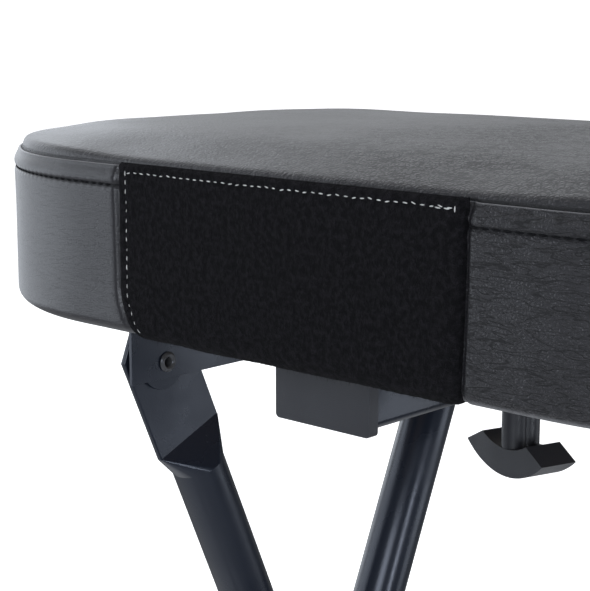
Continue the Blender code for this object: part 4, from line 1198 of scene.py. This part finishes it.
def add_staples():
    """Upholstery staples round the cover's turned-under edge, left out where the beam crosses it."""
    fresh()
    bpy.ops.mesh.primitive_cube_add(size=1)
    staple = bpy.context.object
    bpy.ops.object.mode_set(mode="EDIT")
    bpy.ops.transform.resize(value=STAPLE_SIZE)
    bpy.ops.mesh.bevel(offset=0.25 * MM, segments=2, affect="EDGES")
    bpy.ops.object.mode_set(mode="OBJECT")
    line = [on_plan(column, -STAPLE_LINE).to_3d() for column in COLUMNS]
    for point in line:
        point.z = BOARD_LOW.z - 0.35 * MM
    places = []
    for spot, along, _ in walk(line, STAPLE_PITCH, closed=True):
        if abs(spot.x) < BEAM_BERTH and spot.y < FRONT + 60 * MM:
            continue
        skew = Matrix.Rotation(dice.gauss(0, 0.12), 3, "Z")
        places.append((spot, skew @ along, Vector((0, 0, -1))))
    trim(sew("cover_staples", staple, places), ZINC, "seat_cushion")


def add_screws():
    """Pan-head screws with a cross recess, one for each screw of the rails and the beam."""
    names = [f"rail_screw_{side}_{number}" for side in SIDES for number in (1, 2, 3)]
    names += ["beam_screw_1", "beam_screw_2"]
    tall = 3 * MM
    for name in names:
        low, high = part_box(name)
        long = high.z - low.z
        head = (high.x - low.x) / 2
        profile = [(0, 0), (head * 0.5, 0.15 * tall), (head * 0.85, 0.45 * tall), (head, 0.85 * tall)]
        profile += [(head, tall), (head / 2, tall), (head / 2, long - head / 2), (0, long)]
        spot = Vector((middle(name).x, middle(name).y, low.z))
        screw = turned(name + "_form", profile, spot, UP, SMALL_ROUND)
        for turn in (0, math.pi / 2):
            fresh()
            bpy.ops.mesh.primitive_cube_add(size=1, location=spot, rotation=(0, 0, turn + 0.4))
            blade = bpy.context.object
            blade.dimensions = (head * 1.1, head * 0.24, tall * 1.2)
            combine(screw, blade, "DIFFERENCE")
        settle(screw)
        dress(screw, ZINC, name)


def add_beam():
    """Socket beam with its cap, collar, boss and the wing knob on its stud."""
    refine("seat_beam", 0.3 * MM, PAINT)
    refine("beam_end_cap", 0.25 * MM, PLASTIC)
    refine("beam_collar", 0.4 * MM, PLASTIC)
    low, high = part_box("clamp_boss")
    tall = high.z - low.z
    outer = (high.x - low.x) / 2
    bore = 3.3 * MM
    ring = [(outer, 0), (outer, tall), (bore, tall), (bore, 0)]
    spot = Vector((middle("clamp_boss").x, middle("clamp_boss").y, low.z))
    boss = turned("clamp_boss_form", softened(ring, 0.8 * MM, closed=True), spot, UP, closed=True)
    dress(boss, PAINT, "clamp_boss")
    top = Vector((spot.x, spot.y, high.z))
    add_bead("boss_bead", [top + circle(outer, i / BOSS_STEPS) for i in range(BOSS_STEPS)], "clamp_boss")
    add_knob()


def circle(radius, share):
    angle = 2 * math.pi * share
    return Vector((radius * math.cos(angle), radius * math.sin(angle), 0))


def arc(centre, radius, start, end, steps):
    """Points of an arc, both ends included, with angles in degrees."""
    swing = [math.radians(start + (end - start) * i / steps) for i in range(steps + 1)]
    return [(centre[0] + radius * math.cos(a), centre[1] + radius * math.sin(a)) for a in swing]


def extruded(name, outline, thickness, place):
    """A flat outline, filled and thickened both ways from its plane."""
    count = len(outline)
    piece = new_piece(name, [(x, y, 0) for x, y in outline], [(i, (i + 1) % count) for i in range(count)])
    edit(piece)
    bpy.ops.mesh.edge_face_add()
    apply_modifier(piece, "SOLIDIFY", thickness=thickness, offset=0)
    return settle(piece, place)


def add_knob():
    """Crescent wing knob with a two-lobed hub, and its plated stud."""
    low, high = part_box("wing_knob")
    spot = middle("wing_knob")
    thickness = 20.8 * MM
    outer_radius, outer_span = 45.3 * MM, 30.7 * MM
    inner_radius, inner_span = 34.2 * MM, 17.8 * MM
    web = 14 * MM
    outer_half = math.degrees(math.asin(outer_span / outer_radius))
    inner_half = math.degrees(math.asin(inner_span / inner_radius))
    outline = arc((0, outer_radius), outer_radius, 270 - outer_half, 270 + outer_half, 36)
    outline += arc((0, web + inner_radius), inner_radius, 270 + inner_half, 270 - inner_half, 20)
    place = Matrix.Translation((spot.x, spot.y, low.z)) @ Matrix.Rotation(KNOB_TURN, 4, "Z")
    wings = extruded("wing_knob_form", outline, thickness, place @ Matrix.Rotation(math.pi / 2, 4, "X"))

    lobe, spread = 6.1 * MM, 4.2 * MM
    open_angle = math.degrees(math.acos(spread / lobe))
    hub_outline = arc((0, spread), lobe, open_angle - 90, 270 - open_angle, 26)
    hub_outline += arc((0, -spread), lobe, 90 + open_angle, 450 - open_angle, 26)
    hub_low = web / 2
    hub_tall = high.z - low.z - hub_low
    hub_place = place @ Matrix.Translation((0, 0, hub_low + hub_tall / 2))
    hub = extruded("hub", hub_outline, hub_tall, hub_place)
    combine(wings, hub, "UNION")
    edit(wings)
    bpy.ops.mesh.dissolve_limited(angle_limit=COPLANAR)
    bpy.ops.object.mode_set(mode="OBJECT")
    soften_edges(wings, 0.8 * MM, 3, 45)
    settle(wings)
    dress(wings, PLASTIC, "wing_knob")
    stud = frame["nodes"]["knob_stud"].data.materials
    stud.clear()
    stud.append(ZINC)


# Legs and bars


def add_bead(name, points, node):
    """Weld bead along a closed line, with the ripple of its puddles."""
    ripple = [1 + 0.10 * math.sin(i * 2.1) + 0.08 * dice.random() for i in range(len(points))]
    trim(swept(name, points, BEAD_RADIUS, ripple, closed=True, resolution=3), PAINT, node)


def saddle(centre, bar, tube_line, bar_radius, tube_radius, count=64):
    """The closed line where a bar leaves a tube that it is welded to."""
    across = bar.cross(tube_line).normalized()
    line = []
    for i in range(count):
        angle = 2 * math.pi * i / count
        side = bar_radius * math.sin(angle)
        out = math.sqrt(max(tube_radius**2 - side**2, 0))
        line.append(centre + tube_line * (bar_radius * math.cos(angle)) + across * side + bar * out)
    return line


def crimped_tube(name, length):
    """A tube that hangs from its pivot at the origin, its top crimped flat and cut to a chamfered head."""
    crimp_end = HEAD_BELOW + CRIMP_LENGTH
    fresh()
    bpy.ops.mesh.primitive_circle_add(vertices=ROUND, radius=LEG_RADIUS)
    leg = bpy.context.object
    leg.name = name
    bpy.ops.object.mode_set(mode="EDIT")
    bpy.ops.mesh.select_all(action="SELECT")
    bpy.ops.transform.rotate(value=math.pi / ROUND, orient_axis="Z", center_override=(0, 0, 0))
    bpy.ops.transform.translate(value=(0, 0, -length))
    bpy.ops.mesh.edge_face_add()
    bpy.ops.mesh.extrude_region_move(TRANSFORM_OT_translate={"value": (0, 0, length - crimp_end)})
    bpy.ops.mesh.extrude_region_move(TRANSFORM_OT_translate={"value": (0, 0, CRIMP_LENGTH)})
    mesh = bmesh.from_edit_mesh(leg.data)
    for vertex in mesh.verts:
        if vertex.select:
            vertex.co.x = math.copysign(HEAD_HALF_THICKNESS, vertex.co.x)
            vertex.co.y = math.copysign(HEAD_HALF_WIDTH, vertex.co.y)
    bmesh.update_edit_mesh(leg.data)
    bpy.ops.mesh.delete(type="ONLY_FACE")
    bpy.ops.mesh.select_all(action="SELECT")
    bpy.ops.mesh.remove_doubles(threshold=MERGE)
    bpy.ops.mesh.select_all(action="DESELECT")
    mesh = bmesh.from_edit_mesh(leg.data)
    for edge in mesh.edges:
        edge.select_set(edge.is_boundary)
    bmesh.update_edit_mesh(leg.data)
    shoulder = HEAD_ABOVE - HEAD_CHAMFER
    bpy.ops.mesh.extrude_edges_move(TRANSFORM_OT_translate={"value": (0, 0, HEAD_BELOW + shoulder)})
    bpy.ops.mesh.extrude_edges_move(TRANSFORM_OT_translate={"value": (0, 0, HEAD_CHAMFER)})
    narrow = (HEAD_HALF_WIDTH - HEAD_CHAMFER) / HEAD_HALF_WIDTH
    bpy.ops.transform.resize(value=(1, narrow, 1), center_override=(0, 0, HEAD_ABOVE))
    bpy.ops.mesh.select_all(action="SELECT")
    bpy.ops.mesh.fill_holes(sides=0)
    return leg


def add_outer_leg(side_name, side):
    """Tube leg with a crimped head at its pivot, welded to the rear ground tube."""
    name = f"outer_leg_{side_name}"
    pivot = at_x(side * OUTER_LEG_X, PIVOT)
    leg = crimped_tube(name + "_form", (REAR_GROUND - PIVOT).length - LEG_RADIUS / 3)
    settle(leg, standing(pivot, -OUTER_DOWN), sharp=14)
    soften_edges(leg, 0.8 * MM, 3, 60)
    flatten(leg, 16)
    dress(leg, PAINT, name)
    ground = at_x(side * OUTER_LEG_X, REAR_GROUND)
    line = saddle(ground, -OUTER_DOWN, ACROSS, WELD_RADIUS, LEG_RADIUS)
    add_bead(f"rear_ground_bead_{side_name}", line, name)


def add_inner_leg(side_name, side):
    """Straight tube leg, welded to the front ground tube, with its plug and latch pin."""
    name = f"inner_leg_{side_name}"
    ground = at_x(side * INNER_LEG_X, FRONT_GROUND)
    latch = at_x(side * INNER_LEG_X, LATCH)
    top = latch + INNER_UP * ABOVE_LATCH
    leg = tube(name + "_form", ground + INNER_UP * LEG_RADIUS / 3, top, LEG_RADIUS)
    dress(leg, PAINT, name)
    line = saddle(ground, INNER_UP, ACROSS, WELD_RADIUS, LEG_RADIUS)
    add_bead(f"front_ground_bead_{side_name}", line, name)
    add_leg_plug(f"leg_plug_{side_name}", top)
    add_latch_pin(f"latch_pin_{side_name}", side)


def add_leg_plug(name, top):
    """Domed plastic plug whose spigot fills the leg's open top."""
    spigot = LEG_RADIUS - LEG_WALL - CLEARANCE
    depth = 15 * MM
    profile = [(0, 3.2 * MM), (8 * MM, 2.8 * MM), (13.2 * MM, 1.6 * MM), (LEG_RADIUS, CLEARANCE)]
    profile += [(spigot, CLEARANCE), (spigot, -depth), (0, -depth)]
    dress(turned(name + "_form", softened(profile, 0.5 * MM), top, INNER_UP), PLASTIC, name)


def add_latch_pin(name, side):
    """Headed pin across the leg's top, on which the seat rail's notch rests."""
    low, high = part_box(name)
    long = high.x - low.x
    radius = (high.z - low.z) / 3
    head, head_long = radius * 1.5, 3 * MM
    profile = [(0, 0), (head * 0.7, 0), (head, 1.2 * MM), (head, head_long), (radius, head_long)]
    profile += [(radius, long - 1.6 * MM), (radius * 0.7, long), (0, long)]
    start = at_x(low.x if side > 0 else high.x, LATCH)
    pin = turned(name + "_form", softened(profile, 0.4 * MM), start, ACROSS * side, SMALL_ROUND)
    dress(pin, ZINC, name)


def add_pivot(side_name, side):
    """Tubular rivet through the seat rail and the leg's head, with its washer."""
    name = f"pivot_rivet_{side_name}"
    low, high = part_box(name)
    long = high.x - low.x
    bore, shank, ring, head = 2.3 * MM, 3.2 * MM, 5.2 * MM, 6.5 * MM
    flange = 1.6 * MM
    back = long - flange
    profile = [(bore, 0.9 * MM), (3.4 * MM, 0), (4.3 * MM, 0.1 * MM), (ring, 1.0 * MM), (ring, flange)]
    profile += [(shank, flange), (shank, back), (head, back), (head, long - flange / 2)]
    profile += [(4.4 * MM, long), (bore, long)]
    start = at_x(low.x if side > 0 else high.x, PIVOT)
    curled = softened(profile, 0.5 * MM, closed=True)
    rivet = turned(name + "_form", curled, start, ACROSS * side, ROUND, closed=True)
    dress(rivet, RIVET_PAINT, name)
    refine(f"pivot_washer_{side_name}", 0.25 * MM, NYLON)


def add_crossing(side_name, side):
    """Domed bolt with a socket recess, washer and lock nut at a crossing of the legs."""
    bolt = f"crossing_bolt_{side_name}"
    low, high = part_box(bolt)
    long = high.x - low.x
    head, shank, dome = 9 * MM, 4 * MM, 5 * MM
    profile = [(0, 0)]
    for angle in (math.pi / 2 * i / DOME_STEPS for i in range(1, DOME_STEPS + 1)):
        profile.append((head * math.sin(angle), dome * (1 - math.cos(angle))))
    profile += [(shank, dome), (shank, long - 0.8 * MM), (shank * 0.8, long), (0, long)]
    start = at_x(high.x if side > 0 else low.x, CROSSING)
    piece = turned(bolt + "_form", profile, start, ACROSS * -side)
    fresh()
    bpy.ops.mesh.primitive_cylinder_add(
        vertices=6, radius=3 * MM, depth=6 * MM, location=start, rotation=(0, math.pi / 2, 0)
    )
    socket = bpy.context.object
    combine(piece, socket, "DIFFERENCE")
    settle(piece)
    dress(piece, ZINC, bolt)
    refine(f"crossing_washer_{side_name}", 0.3 * MM, NYLON)
    refine(f"crossing_nut_{side_name}", 0.5 * MM, ZINC)


def foot_profile():
    """Half section of a rubber foot: its end wall, three grooves round the sleeve, and the tube's bore."""
    outer, bore, sleeve, wall = 20 * MM, LEG_RADIUS + CLEARANCE, 32 * MM, 5 * MM
    groove = outer - 1.0 * MM
    profile = [(0, wall), (outer - 1 * MM, wall), (outer, wall - 2 * MM)]
    for top in (-4 * MM, -9 * MM, -14 * MM):
        profile += [(outer, top), (groove, top - 0.6 * MM), (groove, top - 1.6 * MM), (outer, top - 2.2 * MM)]
    profile += [(outer, 3 * MM - sleeve), (outer - 2 * MM, -sleeve), (bore, -sleeve), (bore, 0), (0, 0)]
    return softened(profile, 0.6 * MM, steps=2)


def add_ground_tube(end_name, spot):
    """Ground tube with a ringed rubber foot on each end, cut flat on the floor."""
    name = f"{end_name}_ground_tube"
    low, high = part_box(name)
    start = at_x(low.x, spot)
    end = at_x(high.x, spot)
    dress(tube(name + "_form", start, end, LEG_RADIUS), PAINT, name)
    for side_name, side in SIDES.items():
        foot = f"{end_name}_foot_{side_name}"
        place = at_x(side * (high.x + CLEARANCE), spot)
        piece = turned(foot + "_form", foot_profile(), place, ACROSS * side, sharp=50)
        edit(piece)
        bpy.ops.mesh.bisect(plane_co=(0, 0, 0), plane_no=(0, 0, 1), use_fill=True, clear_inner=True)
        settle(piece, sharp=50)
        dress(piece, RUBBER, foot)


def add_bar(name, radius, leg_x, leg_line):
    """Bar between two legs, welded to both."""
    spot = middle(name)
    reach = leg_x - LEG_RADIUS * 0.6
    start = at_x(-reach, spot)
    end = at_x(reach, spot)
    dress(tube(name + "_form", start, end, radius), PAINT, name)
    for side_name, side in SIDES.items():
        centre = at_x(side * leg_x, spot)
        line = saddle(centre, ACROSS * -side, leg_line, radius, LEG_RADIUS)
        add_bead(f"{name}_bead_{side_name}", line, name)


def add_bars():
    """The rear brace, the footrest with its grip, and the bar that the cradle swings on."""
    add_bar("rear_brace", 10 * MM, OUTER_LEG_X, OUTER_DOWN)
    add_bar("footrest_bar", 11 * MM, INNER_LEG_X, INNER_UP)
    add_bar("cradle_bar", 9.5 * MM, INNER_LEG_X, INNER_UP)
    add_grip()


def add_grip():
    """Ribbed rubber sleeve on the footrest."""
    low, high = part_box("footrest_grip")
    spot = middle("footrest_grip")
    crest, bore = 15 * MM, 11.3 * MM
    valley = crest - 1.2 * MM
    ribs = 9
    long = high.x - low.x
    pitch = long / ribs
    profile = [(bore, 0)]
    for rib in range(ribs):
        profile += [(valley, rib * pitch), (crest, (rib + 0.22) * pitch), (crest, (rib + 0.78) * pitch)]
    profile += [(valley, long), (bore, long)]
    start = at_x(low.x, spot)
    ribbed = softened(profile, 1.6 * MM, closed=True)
    grip = turned("footrest_grip_form", ribbed, start, ACROSS, closed=True, sharp=60)
    dress(grip, RUBBER, "footrest_grip")


# Guitar cradle

ARM_HEADING = math.pi - math.radians(8)
TIP_ANGLE = math.radians(100)
ARM_REACH = 230 * MM
TIP_LENGTH = 62 * MM
ARM_BEND = 24 * MM
ARM_TURN = ARM_HEADING - TIP_ANGLE
BEND_TANGENT = ARM_BEND * math.tan(ARM_TURN / 2)
ARM_STRAIGHT = ARM_REACH - BEND_TANGENT
BEND_END = ARM_STRAIGHT + ARM_BEND * ARM_TURN
ARM_END = BEND_END + TIP_LENGTH - BEND_TANGENT
SLEEVE_RADIUS = 12.7 * MM
SLEEVE_WALL = 2.9 * MM
ROD_RADIUS = 5 * MM
ROD_START = 10 * MM
FOAM_START = 42 * MM
FOAM_RADIUS = 11 * MM
FOAM_UNEVEN = 0.3 * MM
FOAM_WAVE = 9 * MM
TIP_RADIUS = 13 * MM


def arm_point(x, distance):
    """Point on an arm's centre line, a distance along it from the cradle bar's axis."""
    heading = Vector((0, math.cos(ARM_HEADING), math.sin(ARM_HEADING)))
    if distance <= ARM_STRAIGHT:
        return CRADLE_AXIS + ACROSS * x + heading * distance
    inward = Vector((0, heading.z, -heading.y))
    centre = heading * ARM_STRAIGHT + inward * ARM_BEND
    swept_angle = min((distance - ARM_STRAIGHT) / ARM_BEND, ARM_TURN)
    bend = centre - (inward * math.cos(swept_angle) - heading * math.sin(swept_angle)) * ARM_BEND
    tip = Vector((0, math.cos(TIP_ANGLE), math.sin(TIP_ANGLE)))
    return CRADLE_AXIS + ACROSS * x + bend + tip * max(distance - BEND_END, 0)


def arm_run(x, first, last, step):
    count = round((last - first) / step)
    return [arm_point(x, first + (last - first) * i / count) for i in range(count + 1)]


def add_cradle():
    """Sleeve on its bar, with two rod arms."""
    low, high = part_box("cradle_sleeve")
    start = at_x(low.x, CRADLE_AXIS)
    end = at_x(high.x, CRADLE_AXIS)
    sleeve = tube("cradle_sleeve_form", start, end, SLEEVE_RADIUS, SLEEVE_WALL, 0.7 * MM)
    dress(sleeve, PAINT, "cradle_sleeve")
    for side_name in SIDES:
        add_arm(side_name, middle(f"arm_foam_{side_name}").x)


def add_arm(side_name, x):
    """Rod arm welded to the sleeve, with its foam and ball tip."""
    bent = arm_run(x, ROD_START, ARM_END, 4 * MM)
    rod = swept(f"cradle_arm_{side_name}_form", bent, ROD_RADIUS, resolution=7)
    dress(rod, PAINT, f"cradle_arm_{side_name}")
    heading = (arm_point(x, ARM_STRAIGHT) - arm_point(x, 0)).normalized()
    line = saddle(CRADLE_AXIS + ACROSS * x, heading, ACROSS, ROD_RADIUS, SLEEVE_RADIUS, 40)
    add_bead(f"arm_bead_{side_name}", line, f"cradle_arm_{side_name}")

    run = arm_run(x, FOAM_START, ARM_END - TIP_RADIUS, 2 * MM)
    last = len(run) - 1
    ends = [0.8 + 0.2 * math.sin(math.pi / 4 * min(i, last - i, 2)) for i in range(last + 1)]
    foam = swept(f"arm_foam_{side_name}_form", run, FOAM_RADIUS, ends, resolution=9)
    for vertex in foam.data.vertices:
        vertex.co += vertex.normal * FOAM_UNEVEN * noise.noise(vertex.co / FOAM_WAVE)
    dress(foam, FOAM, f"arm_foam_{side_name}")

    turns = [math.radians(15 * i) for i in range(11)]
    ball = [(TIP_RADIUS * math.sin(a), TIP_RADIUS * math.cos(a)) for a in turns]
    bore = ROD_RADIUS + CLEARANCE
    ball += [(bore, ball[-1][1]), (bore, CLEARANCE), (0, CLEARANCE)]
    upward = (0, math.cos(TIP_ANGLE), math.sin(TIP_ANGLE))
    tip = turned(f"arm_tip_{side_name}_form", ball, arm_point(x, ARM_END), upward)
    dress(tip, PLASTIC, f"arm_tip_{side_name}")


# Stage


def add_sweep():
    """White floor and round wall that glow as a cut-out picture's ground does, and don't light the stool."""
    material, _, shader, _ = surface("white_sweep", (0.9, 0.9, 0.9), 0.9, specular=0.1)
    shader.inputs["Emission Color"].default_value = (1, 1, 1, 1)
    shader.inputs["Emission Strength"].default_value = 0.85
    fresh()
    bpy.ops.mesh.primitive_circle_add(vertices=ROUND, radius=SWEEP_RADIUS, fill_type="NGON")
    floor = bpy.context.object
    floor.name = "floor"
    bpy.ops.mesh.primitive_cylinder_add(
        vertices=ROUND, radius=SWEEP_RADIUS, depth=2 * SWEEP_RADIUS, end_fill_type="NOTHING"
    )
    wall = bpy.context.object
    wall.name = "round_wall"
    for piece in (floor, wall):
        piece.data.materials.append(material)
        piece.visible_diffuse = False
        piece.visible_glossy = False
        piece.visible_shadow = False


def add_light(name, spot, target, size, power, colour):
    light = bpy.data.lights.new(name, "AREA")
    light.shape = "RECTANGLE"
    light.size, light.size_y = size
    light.energy = power
    light.color = colour
    lamp = bpy.data.objects.new(name, light)
    lamp.location = spot
    lamp.rotation_euler = (Vector(target) - Vector(spot)).to_track_quat("-Z", "Y").to_euler()
    bpy.context.scene.collection.objects.link(lamp)


def add_sky():
    """Studio surround: a bright side behind on the left, a bright ground, and dark between."""
    world = bpy.data.worlds.new("studio")
    bpy.context.scene.world = world
    world.use_nodes = True
    tree = world.node_tree
    way = add(tree, "TexCoord").outputs["Generated"]
    height = add(tree, "SeparateXYZ", {0: way}).outputs["Z"]
    towards = add(tree, "VectorMath", {0: way, 1: BRIGHT_SIDE}, operation="DOT_PRODUCT").outputs["Value"]
    side = remap(tree, towards, 0.6, 0.96, 0.18, 1.0)
    ground = remap(tree, height, -0.4, -0.95, 0.0, 0.8)
    tree.links.new(plus(tree, side, ground), tree.nodes["Background"].inputs["Strength"])
    tree.nodes["Background"].inputs["Color"].default_value = (0.93, 0.96, 1, 1)


def add_stage():
    """White studio: a sweep, a dim surround, and soft panels above, behind and to both sides."""
    add_sweep()
    add_sky()
    seat = (0, FRONT + SEAT_DEPTH / 2, SEAM)
    add_light("overhead", (0.2, 0.2, 2.2), seat, (1.6, 1.4), 5, WARM)
    add_light("back_left_panel", (-2.75, 1.0, 1.2), seat, (2.0, 1.1), 10, COOL)
    add_light("low_left_panel", (-2.8, 0.4, 0.15), seat, (1.8, 1.2), 9, COOL)
    add_light("back_right_panel", (1.9, 1.9, 0.4), seat, (1.3, 1.5), 12, COOL)
    add_light("left_panel", (-1.9, -1.1, 0.75), seat, (1.6, 2.0), 19, COOL)
    add_light("front_panel", (1.2, -2.0, 1.1), seat, (1.0, 1.6), 30, COOL)
    add_light("right_strip", (2.6, -0.4, 0.5), seat, (0.3, 1.8), 24, COOL)
    bpy.context.scene.view_settings.view_transform = "Standard"

    camera = bpy.data.cameras.new("camera")
    camera.sensor_width = CAMERA_SENSOR
    camera.lens = CAMERA_LENS
    viewer = bpy.data.objects.new("camera", camera)
    viewer.location = CAMERA_SPOT
    viewer.rotation_euler = (math.pi / 2 - CAMERA_PITCH, 0, CAMERA_YAW)
    bpy.context.scene.collection.objects.link(viewer)
    bpy.context.scene.camera = viewer


def build():
    add_stage()
    stitch_line = add_cover()
    add_felt()
    add_nap()
    add_felt_stitching()
    add_band_stitching(stitch_line)
    add_underside()
    add_screws()
    add_beam()
    for side_name, side in SIDES.items():
        add_outer_leg(side_name, side)
        add_inner_leg(side_name, side)
        add_pivot(side_name, side)
        add_crossing(side_name, side)
    add_ground_tube("rear", REAR_GROUND)
    add_ground_tube("front", FRONT_GROUND)
    add_bars()
    add_cradle()


build()
